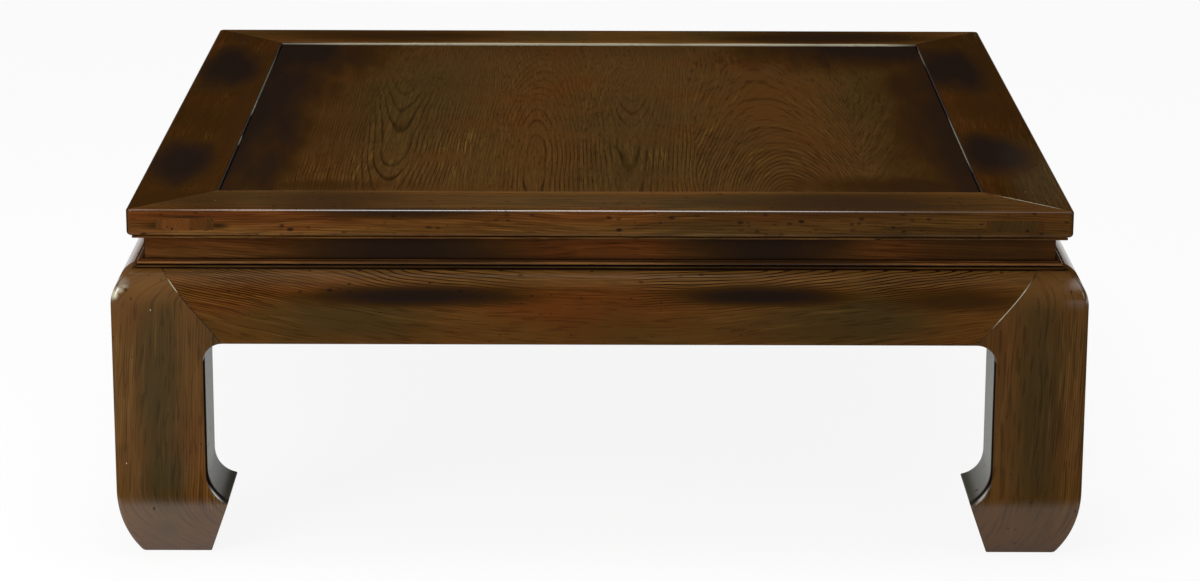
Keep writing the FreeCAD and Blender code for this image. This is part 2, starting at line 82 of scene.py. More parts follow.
# %% Nodes and sockets
def plug(tree, socket, value):
    if isinstance(value, bpy.types.NodeSocket):
        tree.links.new(value, socket)
    else:
        socket.default_value = value


def put(tree, kind, values, **settings):
    node = tree.nodes.new(kind)
    for setting, value in settings.items():
        setattr(node, setting, value)
    for socket, value in values.items():
        plug(tree, node.inputs[socket], value)
    return node


print("helpers", plug.__name__, put.__name__)

# %% [markdown]
# Each recipe below is a list of small steps of arithmetic. A fade is a soft threshold: it
# passes from low to high while its value passes from start to end.

# %% Steps of arithmetic
def maths(tree, operation, *values):
    return put(tree, "ShaderNodeMath", dict(enumerate(values)), operation=operation).outputs[0]


def vector_maths(tree, operation, *values):
    node = put(tree, "ShaderNodeVectorMath", dict(enumerate(values)), operation=operation)
    return node.outputs["Value" if operation in ("LENGTH", "DOT_PRODUCT") else "Vector"]


def scaled(tree, vector, factor):
    values = {0: vector, "Scale": factor}
    return put(tree, "ShaderNodeVectorMath", values, operation="SCALE").outputs[0]


def split(tree, vector):
    return put(tree, "ShaderNodeSeparateXYZ", {0: vector}).outputs


def fade(tree, value, start, end, low=0.0, high=1.0):
    values = {"Value": value, "From Min": start, "From Max": end, "To Min": low, "To Max": high}
    return put(tree, "ShaderNodeMapRange", values, interpolation_type="SMOOTHSTEP").outputs[0]


def mix(tree, share, first, second):
    values = {0: share, 6: first, 7: second}
    return put(tree, "ShaderNodeMix", values, data_type="RGBA").outputs[2]


print("helpers", [step.__name__ for step in (maths, vector_maths, scaled, split, fade, mix)])

# %% [markdown]
# Wood is full of slow changes that no simple rule gives, and noise stands for them. The
# stretch says how fine the noise is along each axis. A seed moves the point to another part
# of the noise, so that no two pieces are alike. Its values lie about a middle of one half.

# %% Noise
SEED_STEP = (3.1, 7.7, 5.3)
NOISE_MIDDLE = 0.5


def seeded(tree, vector, seed):
    return vector_maths(tree, "MULTIPLY_ADD", seed, SEED_STEP, vector)


def noise(tree, vector, stretch, detail=2.0):
    grain = vector_maths(tree, "MULTIPLY", vector, stretch)
    values = {"Vector": grain, "Scale": 1.0, "Detail": detail}
    return put(tree, "ShaderNodeTexNoise", values).outputs


print("seed step", SEED_STEP)

# %% [markdown]
# What all pieces have in common, such as growth rings or lacquer, is built once, as a node
# group with named inputs and outputs. Each material places it with its own values. A socket's
# kind follows from the value it starts with: a number, a vector of three or a colour of four.

# %% Node groups
SOCKET_KINDS = {1: "NodeSocketFloat", 3: "NodeSocketVector", 4: "NodeSocketColor"}
NUMBER = 0.0
VECTOR = (0, 0, 0)
COLOUR = (0, 0, 0, 1)


def add_socket(tree, label, value, in_out):
    kind = SOCKET_KINDS[len(value) if isinstance(value, tuple) else 1]
    tree.interface.new_socket(label, in_out=in_out, socket_type=kind).default_value = value


def new_group(name, inputs, outputs):
    tree = bpy.data.node_groups.new(name, "ShaderNodeTree")
    for label, value in inputs.items():
        add_socket(tree, label, value, "INPUT")
    for label, value in outputs.items():
        add_socket(tree, label, value, "OUTPUT")
    return tree, tree.nodes.new("NodeGroupInput").outputs, tree.nodes.new("NodeGroupOutput").inputs


def use_group(tree, group, values):
    node = tree.nodes.new("ShaderNodeGroup")
    node.node_tree = group
    for socket, value in values.items():
        plug(tree, node.inputs[socket], value)
    return node.outputs


print("socket kinds", sorted(SOCKET_KINDS.values()))

# %% [markdown]
# Elm shows its growth rings as fine dark lines. A board is a slice through rings that lie
# round the pith of the trunk, so the lines follow from one solid rule: the distance from a
# leaning, bowed, wandering axis, cut up into rings. Where the axis dives away from the
# surface the rings open as arches, and where it runs beside the board they are straight
# lines. The grain runs along X of the vector that comes in, and Shiver makes the lines
# tremble. Flow is a vector that runs along the lines, for the fibres. Follow says how far
# they keep to the rings instead of running straight on.

# %% Growth rings
SWAY_STRETCH = (1.6, 5.0, 5.0)
SWAY_RINGS = 3.0
SHIVER_STRETCH = (9.0, 45.0, 45.0)
LATE_WOOD_START = (0.58, 0.86)
LATE_WOOD_END = (0.90, 1.0)
TONE_CURVE = 2.0
FLOW_EVENER = 0.4

rings, given, made = new_group(
    "growth rings",
    {
        "Vector": VECTOR, "Pith Offset": 0.0, "Pith Depth": 0.1, "Lean": 0.05, "Bow": 0.0,
        "Ring Width": 0.006, "Wander": 0.02, "Shiver": 1.0, "Follow": 0.6, "Seed": VECTOR,
    },
    {"Line": NUMBER, "Tone": NUMBER, "Flow": VECTOR},
)
spot = seeded(rings, given["Vector"], given["Seed"])
sway = noise(rings, spot, SWAY_STRETCH)
swing = vector_maths(rings, "SUBTRACT", sway["Color"], (NOISE_MIDDLE,) * 3)
swing = scaled(rings, swing, given["Wander"])
bent = split(rings, vector_maths(rings, "ADD", given["Vector"], swing))
across = maths(rings, "SUBTRACT", bent["Y"], given["Pith Offset"])
slope = maths(rings, "MULTIPLY_ADD", bent["X"], given["Bow"], given["Lean"])
dive = maths(rings, "MULTIPLY_ADD", bent["X"], slope, given["Pith Depth"])
depth = maths(rings, "ADD", bent["Z"], dive)
square = maths(rings, "MULTIPLY_ADD", across, across, maths(rings, "MULTIPLY", depth, depth))
radius = maths(rings, "SQRT", square)
shiver = noise(rings, spot, SHIVER_STRETCH, 1.0)["Fac"]
turns = maths(rings, "DIVIDE", radius, given["Ring Width"])
turns = maths(rings, "MULTIPLY_ADD", sway["Fac"], SWAY_RINGS, turns)
turns = maths(rings, "MULTIPLY_ADD", shiver, given["Shiver"], turns)
print("growth rings, first half", len(rings.nodes), "nodes")

# %% [markdown]
# The whole number of turns is the ring, and the rest is the place within it. The line is the
# late wood, at the end of each ring, and the tone darkens slowly towards it.

# %% Late wood and flow
place = maths(rings, "FRACT", turns)
begun = fade(rings, place, *LATE_WOOD_START)
not_over = fade(rings, place, *LATE_WOOD_END, 1.0, 0.0)
plug(rings, made["Line"], maths(rings, "MULTIPLY", begun, not_over))
plug(rings, made["Tone"], maths(rings, "POWER", place, TONE_CURVE))
uneven = maths(rings, "MULTIPLY", turns, given["Ring Width"])
half_way = maths(rings, "MULTIPLY_ADD", uneven, given["Follow"], across)
half_way = maths(rings, "DIVIDE", half_way, maths(rings, "ADD", given["Follow"], FLOW_EVENER))
flow = {"X": bent["X"], "Y": half_way}
plug(rings, made["Flow"], put(rings, "ShaderNodeCombineXYZ", flow).outputs[0])
print("growth rings", len(rings.nodes), "nodes")

# %% [markdown]
# Between the rings the wood is a bundle of fibres with open pores. They are noise drawn out
# along the flow of the rings: broad streaks, fine fibres, and short dark dashes for the
# pores, which the stain fills.

# %% Fibres and pores
STREAK_STRETCH = (3.0, 110.0, 1.0)
FIBRE_STRETCH = (11.0, 430.0, 1.0)
PORE_STRETCH = (30.0, 800.0, 1.0)
PORE_EDGE = (0.57, 0.70)

fibres, given, made = new_group(
    "fibres and pores",
    {"Flow": VECTOR, "Seed": VECTOR},
    {"Fibre": NUMBER, "Pores": NUMBER, "Streak": NUMBER},
)
strand = seeded(fibres, given["Flow"], given["Seed"])
plug(fibres, made["Streak"], noise(fibres, strand, STREAK_STRETCH)["Fac"])
plug(fibres, made["Fibre"], noise(fibres, strand, FIBRE_STRETCH)["Fac"])
dashes = noise(fibres, strand, PORE_STRETCH, 0.0)["Fac"]
plug(fibres, made["Pores"], fade(fibres, dashes, *PORE_EDGE))
print("fibres and pores", len(fibres.nodes), "nodes")

# %% [markdown]
# The lacquer is not even. Near-black clouds with a brown border lie on every part, other
# places are rubbed to tan or have aged to olive. Such a place is a soft ellipsoid, and a
# slow noise breaks its border up.

# %% Soft place
place_group, given, made = new_group(
    "soft place",
    {
        "Vector": VECTOR, "Centre": VECTOR, "Half Size": (0.1, 0.1, 0.1), "Border": 0.5,
        "Ragged": 0.0, "Strength": 1.0,
    },
    {"Mask": NUMBER},
)
away = vector_maths(place_group, "SUBTRACT", given["Vector"], given["Centre"])
away = vector_maths(place_group, "DIVIDE", away, given["Half Size"])
reach = maths(place_group, "ADD", vector_maths(place_group, "LENGTH", away), given["Ragged"])
inner = maths(place_group, "SUBTRACT", 1.0, given["Border"])
outer = maths(place_group, "ADD", 1.0, given["Border"])
plug(place_group, made["Mask"], fade(place_group, reach, inner, outer, given["Strength"], 0.0))
print("soft place", len(place_group.nodes), "nodes")

# %% [markdown]
# Old elm is scattered with worm holes and small nicks along the grain. Random points, one in
# each cell of space, give each mark its place. A share of the cells keep theirs, and each is a
# small pit in colour and in height. A few others are pale specks, painted glints.

# %% Pits
PIT_SIZES = (1.3, 0.35)
PIT_RIM = (0.5, 1.2)
PIT_DEPTHS = (0.6, 0.4)
FEW_LARGE = 2.0

pits, given, made = new_group(
    "pits",
    {"Vector": VECTOR, "Spacing": 0.02, "Size": 0.0014, "Share": 0.2, "Speck Share": 0.0},
    {"Mask": NUMBER, "Specks": NUMBER},
)
density = maths(pits, "DIVIDE", 1.0, given["Spacing"])
cells = put(pits, "ShaderNodeTexVoronoi", {"Vector": given["Vector"], "Scale": density}).outputs
lots = put(pits, "ShaderNodeSeparateColor", {0: cells["Color"]}).outputs
luck = maths(pits, "POWER", lots[1], FEW_LARGE)
size = maths(pits, "MULTIPLY", given["Size"], maths(pits, "MULTIPLY_ADD", luck, *PIT_SIZES))
gap = maths(pits, "MULTIPLY", cells["Distance"], given["Spacing"])
inside = fade(pits, maths(pits, "DIVIDE", gap, size), *PIT_RIM, 1.0, 0.0)
kept = maths(pits, "LESS_THAN", lots[0], given["Share"])
deep = maths(pits, "MULTIPLY", kept, maths(pits, "MULTIPLY_ADD", lots[2], *PIT_DEPTHS))
plug(pits, made["Mask"], maths(pits, "MULTIPLY", inside, deep))
# pale specks, painted glints
pale = maths(pits, "LESS_THAN", maths(pits, "SUBTRACT", 1.0, lots[0]), given["Speck Share"])
plug(pits, made["Specks"], maths(pits, "MULTIPLY", inside, pale))
print("pits", len(pits.nodes), "nodes")

# %% [markdown]
# Dirt settles in the mitres and draws them as dark hairlines, here fuller and there fainter.
# The frame of the top, the waist and the moulding are mitred on the diagonals. An apron meets
# its legs on a slanting plane from the foot of the apron up and outwards to the shoulder. The
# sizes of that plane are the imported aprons' own, in metres.

# %% Mitre lines
APRON_FOOT = 0.2863
APRON_TOP = 0.378
MITRE_FOOT = 0.4795
MITRE_TOP = 0.5555
MITRE_SLOPE = (MITRE_TOP - MITRE_FOOT) / (APRON_TOP - APRON_FOOT)
MITRE_EDGE = (0.4, 1.2)
FAINT_STRETCH = (40.0, 40.0, 40.0)
FAINT_EDGE = (0.42, 0.55)
FAINTEST = 0.45

mitres, given, made = new_group(
    "mitre lines",
    {"Vector": VECTOR, "Width": 0.0007},
    {"Mask": NUMBER},
)
spot = split(mitres, vector_maths(mitres, "ABSOLUTE", given["Vector"]))
near = maths(mitres, "MINIMUM", spot[0], spot[1])
far = maths(mitres, "MAXIMUM", spot[0], spot[1])
risen = maths(mitres, "SUBTRACT", spot[2], APRON_FOOT)
risen = maths(mitres, "MULTIPLY_ADD", risen, MITRE_SLOPE, MITRE_FOOT)
slanting = maths(mitres, "SUBTRACT", near, risen)
slanting = maths(mitres, "MULTIPLY", slanting, 1 / math.hypot(1, MITRE_SLOPE))
diagonal = maths(mitres, "SUBTRACT", far, near)
diagonal = maths(mitres, "MULTIPLY", diagonal, math.sqrt(0.5))
above = maths(mitres, "GREATER_THAN", spot[2], APRON_TOP)
gap = put(mitres, "ShaderNodeMix", {0: above, 2: slanting, 3: diagonal}).outputs[0]
widths = maths(mitres, "DIVIDE", maths(mitres, "ABSOLUTE", gap), given["Width"])
line = fade(mitres, widths, *MITRE_EDGE, 1.0, 0.0)
fainter = noise(mitres, given["Vector"], FAINT_STRETCH, 1.0)["Fac"]
fainter = fade(mitres, fainter, *FAINT_EDGE, FAINTEST, 1.0)
plug(mitres, made["Mask"], maths(mitres, "MULTIPLY", line, fainter))
print("mitre lines", len(mitres.nodes), "nodes")

# %% [markdown]
# One group lays the finish over all of these. What comes in are the masks of the groups above,
# the places of wear and painted light, and a few strengths that differ from piece to piece.

# %% Lacquer
RUSSET = (0.106, 0.029, 0.0055, 1)
OLIVE = (0.052, 0.031, 0.0085, 1)
TAN = (0.138, 0.063, 0.0155, 1)
HONEY = (0.210, 0.108, 0.0240, 1)
EMBER = (0.034, 0.0140, 0.0030, 1)
SOOT = (0.0138, 0.0078, 0.0052, 1)
# pale paint for painted highlights and glints
HIGHLIGHT_PAINT = (0.50, 0.46, 0.33, 1)
# a grey film, partly dust and partly painted sheen
DUST_AND_SHEEN = (0.115, 0.113, 0.090, 1)

lacquer, given, made = new_group(
    "rubbed lacquer",
    {
        "Vector": VECTOR, "Base": (0.07, 0.03, 0.006, 1), "Fibre": 0.5, "Streak": 0.5,
        **dict.fromkeys(["Line", "Tone", "Pores", "Pits", "Specks", "Mitre"], 0.0),
        **dict.fromkeys(["Dark", "Rubbed", "Red", "Olive", "Calm", "Dusty", "Edge"], 0.0),
        **dict.fromkeys(["Painted_Highlight", "Painted_Glint"], 0.0),
        "Line Strength": 0.38, "Contrast": 1.0, "Mottle": 0.4, "Gold": 0.2, "Level": 1.0,
    },
    {"Color": COLOUR, "Roughness": NUMBER},
)
print("lacquer inputs", len(given) - 1)

# %% [markdown]
# First the stain. The base colour turns russet, olive or tan where a piece lists such a place,
# and a slow mottle spreads a little russet and olive all over it. Where the mottle is strong
# enough, the brightest fibres catch gold.

# %% Stain
MOTTLE_STRETCH = (7.0, 7.0, 7.0)
RED_MOTTLE = (0.46, 0.70)
OLIVE_MOTTLE = (0.48, 0.70)
LIVELY_MOTTLE = (0.36, 0.60)
GOLD_FIBRES = (0.52, 0.72)

mottle = noise(lacquer, given["Vector"], MOTTLE_STRETCH)["Color"]
mottle = put(lacquer, "ShaderNodeSeparateColor", {0: mottle}).outputs
red = fade(lacquer, mottle[0], *RED_MOTTLE)
red = maths(lacquer, "MULTIPLY_ADD", red, given["Mottle"], given["Red"])
olive = fade(lacquer, mottle[1], *OLIVE_MOTTLE)
olive = maths(lacquer, "MULTIPLY_ADD", olive, given["Mottle"], given["Olive"])
colour = mix(lacquer, maths(lacquer, "MINIMUM", red, 1.0), given["Base"], RUSSET)
colour = mix(lacquer, maths(lacquer, "MINIMUM", olive, 1.0), colour, OLIVE)
colour = mix(lacquer, given["Rubbed"], colour, TAN)
gold = fade(lacquer, given["Fibre"], *GOLD_FIBRES)
gold = maths(lacquer, "MULTIPLY", gold, fade(lacquer, mottle[2], *LIVELY_MOTTLE))
colour = mix(lacquer, maths(lacquer, "MULTIPLY", gold, given["Gold"]), colour, HONEY)
print("stain", len(lacquer.nodes), "nodes")

# %% [markdown]
# Then the figure, as one shade that multiplies the stain. Fibres and streaks lighten and
# darken it, ring lines and pores only darken it, and the mottle makes the lines come and go.
# Calm places hide all of it but the pores, as a thick coat does.

# %% Figure
FIBRE_SHADE = (0.32, 0.68, -0.17, 0.17)
STREAK_SHADE = (0.30, 0.70, -0.11, 0.11)
TONE_SHARE = 0.25
FAINT_LINES = 0.25
PORE_SHADE = 0.70

lively = maths(lacquer, "SUBTRACT", 1.0, given["Calm"])
fine = fade(lacquer, given["Fibre"], *FIBRE_SHADE)
fine = maths(lacquer, "MULTIPLY", fine, given["Contrast"])
broad = fade(lacquer, given["Streak"], *STREAK_SHADE)
broad = maths(lacquer, "MULTIPLY", broad, given["Contrast"])
shade = maths(lacquer, "MULTIPLY_ADD", maths(lacquer, "ADD", fine, broad), lively, 1.0)
lined = maths(lacquer, "MULTIPLY_ADD", given["Tone"], TONE_SHARE, given["Line"])
come_and_go = fade(lacquer, mottle[2], *LIVELY_MOTTLE, FAINT_LINES, 1.0)
lined = maths(lacquer, "MULTIPLY", lined, come_and_go)
strength = maths(lacquer, "MULTIPLY", lively, given["Line Strength"])
lined = maths(lacquer, "MULTIPLY", lined, strength)
shade = maths(lacquer, "MULTIPLY", shade, maths(lacquer, "SUBTRACT", 1.0, lined))
stopped = fade(lacquer, given["Pores"], 0.0, 1.0, 1.0, PORE_SHADE)
shade = maths(lacquer, "MULTIPLY", shade, stopped)
shade = maths(lacquer, "MULTIPLY", shade, given["Level"])
colour = scaled(lacquer, colour, shade)
print("stain and figure", len(lacquer.nodes), "nodes")

# %% [markdown]
# Last comes what lies on top. Clouds burn the colour first to ember brown and then to soot, and
# so does painted shade. A film of dust and painted sheen greys it, pits and mitres are black, and
# so is the painted shadow at a leg's edge. Pale paint draws highlights: in the corner between
# frame and panel in places, at a shoulder and in the bend above a foot, in a few specks, and in a
# mitre wherever a piece lists a painted glint there.

# %% Clouds, shade, dirt and painted highlights
EMBER_FADE = (0.0, 0.6)
SOOT_FADE = (0.35, 1.0)
HOLLOW_DEPTH = 0.9
GLINT_EDGE = (0.1, 0.5)
SATIN = (0.3, 0.7, 0.5, 0.4)
PIT_ROUGHNESS = 0.3

colour = mix(lacquer, fade(lacquer, given["Dark"], *EMBER_FADE), colour, EMBER)
colour = mix(lacquer, fade(lacquer, given["Dark"], *SOOT_FADE), colour, SOOT)
colour = mix(lacquer, given["Dusty"], colour, DUST_AND_SHEEN)
colour = mix(lacquer, given["Edge"], colour, SOOT)
hollow = maths(lacquer, "MAXIMUM", given["Pits"], given["Mitre"])
colour = mix(lacquer, maths(lacquer, "MULTIPLY", hollow, HOLLOW_DEPTH), colour, SOOT)
# where a glint is listed, the mitre line is painted light as a highlight
highlighted = fade(lacquer, given["Mitre"], *GLINT_EDGE)
highlighted = maths(lacquer, "MULTIPLY", highlighted, given["Painted_Glint"])
highlighted = maths(lacquer, "MAXIMUM", highlighted, maths(lacquer, "MAXIMUM", given["Painted_Highlight"], given["Specks"]))
plug(lacquer, made["Color"], mix(lacquer, highlighted, colour, HIGHLIGHT_PAINT))
rough = fade(lacquer, given["Fibre"], *SATIN)
rough = maths(lacquer, "MULTIPLY_ADD", given["Pits"], PIT_ROUGHNESS, rough)
plug(lacquer, made["Roughness"], rough)
print("rubbed lacquer", len(lacquer.nodes), "nodes")

# %% [markdown]
# The gloss coat was rubbed down to a satin, so only a trace of it is left on the flat faces.
# More is left on faces that look down, and it draws a bright line on each rounded arris that
# looks up, where no axis of the table is square to the surface. Like any satin it shines where
# it is seen at a glance. Pits have none.

# %% Gloss coat
ARRIS_TURN = (0.80, 0.96)
LOOKS_UP = (0.04, 0.30)
LOOKS_DOWN = (-0.16, -0.04)

gloss, given, made = new_group(
    "gloss coat",
    {
        "Normal": (0, 0, 1), "Pits": 0.0, "Face": 0.010, "Arris": 1.0, "Downward": 0.42,
        "Glance": 0.0, "Glance Strength": 0.5,
    },
    {"Coat": NUMBER},
)
facing = split(gloss, vector_maths(gloss, "ABSOLUTE", given["Normal"]))
flat = maths(gloss, "MAXIMUM", maths(gloss, "MAXIMUM", facing[0], facing[1]), facing[2])
arris = fade(gloss, flat, *ARRIS_TURN, 1.0, 0.0)
arris = maths(gloss, "MULTIPLY", arris, given["Arris"])
fall = split(gloss, given["Normal"])[2]
arris = maths(gloss, "MULTIPLY", arris, fade(gloss, fall, *LOOKS_UP))
downward = fade(gloss, fall, *LOOKS_DOWN, 1.0, 0.0)
downward = maths(gloss, "MULTIPLY", downward, given["Downward"])
coat = maths(gloss, "MAXIMUM", arris, downward)
coat = maths(gloss, "MAXIMUM", coat, given["Face"])
glance = maths(gloss, "MULTIPLY", given["Glance"], given["Glance Strength"])
coat = maths(gloss, "MAXIMUM", coat, glance)
bare = maths(gloss, "SUBTRACT", 1.0, given["Pits"])
plug(gloss, made["Coat"], maths(gloss, "MULTIPLY", coat, bare))
print("gloss coat", len(gloss.nodes), "nodes")

# %% [markdown]
# A piece is seen from its own side of the table, so the same list of dark clouds and rubbed
# places can serve all four sides: the point is turned until the side is in front. Each row of
# the list becomes a soft place, and where places of one kind overlap the strongest counts.

# %% Places of wear and painted light on a piece
RAGGED_STRETCH = (5.0, 24.0, 24.0)
RAGGED_DETAIL = 3.0

FRONT, LEFT, BACK, RIGHT = (math.radians(angle) for angle in (0, 90, 180, -90))


def strongest(tree, totals, kind, mask):
    totals[kind] = maths(tree, "MAXIMUM", totals[kind], mask) if kind in totals else mask


def places(tree, seen, along, seeds, listed):
    ragged = noise(tree, seeded(tree, along, seeds), RAGGED_STRETCH, RAGGED_DETAIL)["Fac"]
    ragged = maths(tree, "SUBTRACT", ragged, NOISE_MIDDLE)
    totals = {}
    for kind, strength, centre, half_size, border in listed:
        values = {
            "Vector": seen,
            "Centre": Vector(centre) * MM,
            "Half Size": Vector(half_size) * MM,
            "Border": border,
            "Ragged": ragged,
            "Strength": strength,
        }
        strongest(tree, totals, kind, use_group(tree, place_group, values)["Mask"])
    return totals


print("turns of the sides", FRONT, LEFT, BACK, RIGHT)

# %% [markdown]
# Faces that look in under the table get painted shade: they are darkened. On a leg they carry
# a grey film of dust and painted sheen instead, behind a black line of painted shadow along the
# outer edge. Such a face is known by its normal, which points towards the middle of the table.

# %% Faces that look in
TURNED_IN = (0.15, 0.45)
OUTER_EDGE = (0.592, 0.602)


def turned_in(tree, point, normal):
    level = vector_maths(tree, "MULTIPLY", point, (-1.0, -1.0, 0.0))
    inward = vector_maths(tree, "NORMALIZE", level)
    return fade(tree, vector_maths(tree, "DOT_PRODUCT", normal, inward), *TURNED_IN)


def outermost(tree, point):
    reach = split(tree, vector_maths(tree, "ABSOLUTE", point))
    return fade(tree, maths(tree, "MAXIMUM", reach[0], reach[1]), *OUTER_EDGE)


print("outer edge of a leg", OUTER_EDGE)

# %% [markdown]
# The sheen at a glance comes from Layer Weight, which stays in the material. On a leg it is
# the sheen of the faces that look in, and on all other pieces that of the open ones.

# %% Sheen at a glance
OPEN_GLANCE = (0.80, 0.92)
INNER_FACE_GLANCE = (0.60, 0.80)


def turned_over(tree, mask):
    return fade(tree, mask, 0.0, 1.0, 1.0, 0.0)


def sheen(tree, shaded, edge):
    glance = put(tree, "ShaderNodeLayerWeight", {"Blend": 0.5}).outputs["Facing"]
    if edge is None:
        return maths(tree, "MULTIPLY", fade(tree, glance, *OPEN_GLANCE), turned_over(tree, shaded))
    behind = maths(tree, "MULTIPLY", turned_over(tree, edge), shaded)
    return maths(tree, "MULTIPLY", fade(tree, glance, *INNER_FACE_GLANCE), behind)


print("glance", OPEN_GLANCE, INNER_FACE_GLANCE)

# %% [markdown]
# Every piece is finished by the same recipe. The grain is turned separately from the side, to
# run along the piece. Pits are given as spacing and size in millimetres, the share of cells
# that have one and the share that have a painted glint, and are drawn out along the grain.
# Shine places limit the bright arris, gloss places raise the trace of coat on the faces, and
# gold places add to the piece's own gold. The plain numbers of the coat go straight into the
# shader's sockets. Fibres and pits are felt as well as seen, so they also make the relief.

# %% Finish of one piece
COAT_ROUGHNESS = 0.14
COAT_IOR = 2.2
BUMP_DISTANCE = 0.0004
NICK_STRETCH = (0.55, 1.0, 1.0)
STRAND_STRETCH = (20.0, 600.0, 600.0)
STRAND_HEIGHT = 0.3
PIT_HEIGHT = -2.0
PLAIN_PIT = (20, 1.4, 0.15, 0.0)
COAT_PLACES = {"Shine": "Arris", "Gloss": "Face"}


def scattered(tree, along, pit):
    spacing, size, share, specks = pit
    values = {
        "Vector": vector_maths(tree, "MULTIPLY", along, NICK_STRETCH),
        "Spacing": spacing * MM,
        "Size": size * MM,
        "Share": share,
        "Speck Share": specks,
    }
    return use_group(tree, pits, values)


def relief(tree, along, holes):
    strands = noise(tree, along, STRAND_STRETCH, 1.0)["Fac"]
    strands = maths(tree, "MULTIPLY", strands, STRAND_HEIGHT)
    height = maths(tree, "MULTIPLY_ADD", holes, PIT_HEIGHT, strands)
    bump = put(tree, "ShaderNodeBump", {"Height": height, "Distance": BUMP_DISTANCE})
    return bump.outputs[0]


def lacquered_elm(name, side, grain, ring, seed, base, listed, pit=PLAIN_PIT, coat=None,
                  finish=None, dust_and_sheen_inside=False):
    material = bpy.data.materials.new(name)
    material.use_nodes = True
    tree = material.node_tree
    coordinates = put(tree, "ShaderNodeTexCoord", {}).outputs
    point = coordinates["Object"]
    seeds = (seed, seed, seed)
    finish = finish or {}
    along = put(tree, "ShaderNodeMapping", {"Vector": point, "Rotation": grain}).outputs[0]
    seen = put(tree, "ShaderNodeMapping", {"Vector": point, "Rotation": (0, 0, side)}).outputs[0]
    figure = use_group(tree, rings, {"Vector": along, "Seed": seeds, **ring})
    bundle = use_group(tree, fibres, {"Flow": figure["Flow"], "Seed": seeds})
    marks = scattered(tree, along, pit)
    worn = places(tree, seen, along, seeds, listed)
    shaded = turned_in(tree, point, coordinates["Normal"])
    # painted shade on faces that look in; on a leg, a film of dust and painted sheen
    strongest(tree, worn, "Dusty" if dust_and_sheen_inside else "Dark", shaded)
    edge = outermost(tree, point) if dust_and_sheen_inside else None
    if dust_and_sheen_inside:
        # a painted shadow along the outer edge of a leg
        worn["Edge"] = maths(tree, "MULTIPLY", edge, shaded)
    coated = {COAT_PLACES[kind]: worn.pop(kind) for kind in COAT_PLACES if kind in worn}
    if "Gold" in worn:
        worn["Gold"] = maths(tree, "ADD", worn["Gold"], finish["Gold"])
    values = {
        "Vector": point,
        "Base": (*base, 1),
        "Line": figure["Line"],
        "Tone": figure["Tone"],
        "Fibre": bundle["Fibre"],
        "Streak": bundle["Streak"],
        "Pores": bundle["Pores"],
        "Pits": marks["Mask"],
        "Specks": marks["Specks"],
        "Mitre": use_group(tree, mitres, {"Vector": point})["Mask"],
        **finish,
        **worn,
    }
    look = use_group(tree, lacquer, values)
    values = {
        "Normal": coordinates["Normal"],
        "Pits": marks["Mask"],
        "Glance": sheen(tree, shaded, edge),
        **coated,
        **(coat or {}),
    }
    shine = use_group(tree, gloss, values)
    shader = tree.nodes["Principled BSDF"]
    plug(tree, shader.inputs["Base Color"], look["Color"])
    plug(tree, shader.inputs["Roughness"], look["Roughness"])
    plug(tree, shader.inputs["Coat Weight"], shine["Coat"])
    plug(tree, shader.inputs["Normal"], relief(tree, along, marks["Mask"]))
    shader.inputs["Coat Roughness"].default_value = COAT_ROUGHNESS
    shader.inputs["Coat IOR"].default_value = COAT_IOR
    shader.inputs["Specular IOR Level"].default_value = 0.0
    return material


print("coat", COAT_ROUGHNESS, COAT_IOR)

# %% [markdown]
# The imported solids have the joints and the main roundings, but every other edge is knife
# sharp, and no plane leaves wood like that. Each piece is a merged copy of its solid, with
# the flat faces made whole again. A tree of each solid's surface tells later which pieces lie
# against each other.

# %% Merged copies
MERGE = 0.01 * MM
FLAT = math.radians(0.5)


def merged_copy(node):
    shape = bmesh.new()
    shape.from_mesh(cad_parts[node].data)
    bmesh.ops.remove_doubles(shape, verts=shape.verts, dist=MERGE)
    bmesh.ops.dissolve_limit(shape, angle_limit=FLAT, verts=shape.verts, edges=shape.edges)
    return shape


surfaces = {}
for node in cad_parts:
    shape = merged_copy(node)
    surfaces[node] = BVHTree.FromBMesh(shape)
    shape.free()
print("surfaces", len(surfaces))

# %% [markdown]
# An edge that lies against a neighbour is a joint, and one in free air is an arris. A narrow
# face beside an edge leaves less room for its rounding, so the room is measured too, along
# the other edges that leave its ends at an angle.

# %% Joints and arrises
TOUCH = 0.35 * MM
WIDEST = 3.0 * MM
MOST_ROOM = WIDEST * 4
PARALLEL = 0.9


def touches_neighbour(node, point):
    for other, surface in surfaces.items():
        if other != node and surface.find_nearest(point, TOUCH)[0] is not None:
            return True
    return False


def room_beside(edge):
    along = (edge.verts[1].co - edge.verts[0].co).normalized()
    lengths = [MOST_ROOM]
    for vert in edge.verts:
        for other in vert.link_edges:
            span = other.other_vert(vert).co - vert.co
            if other != edge and abs(span.normalized().dot(along)) < PARALLEL:
                lengths.append(span.length)
    return min(lengths)


print("widest rounding", WIDEST)

# %% [markdown]
# A joint gets a hairline chamfer, which shows as the fine seam between two pieces, and an
# arris is rounded. One Bevel modifier does both: each edge has a weight, which is its own
# width as a share of the widest. Weighted normals keep the flat faces flat in the light.

# %% A finished piece
CREASE = math.radians(25)
ROOM_SHARE = 0.4
ARRIS_SEGMENTS = 3


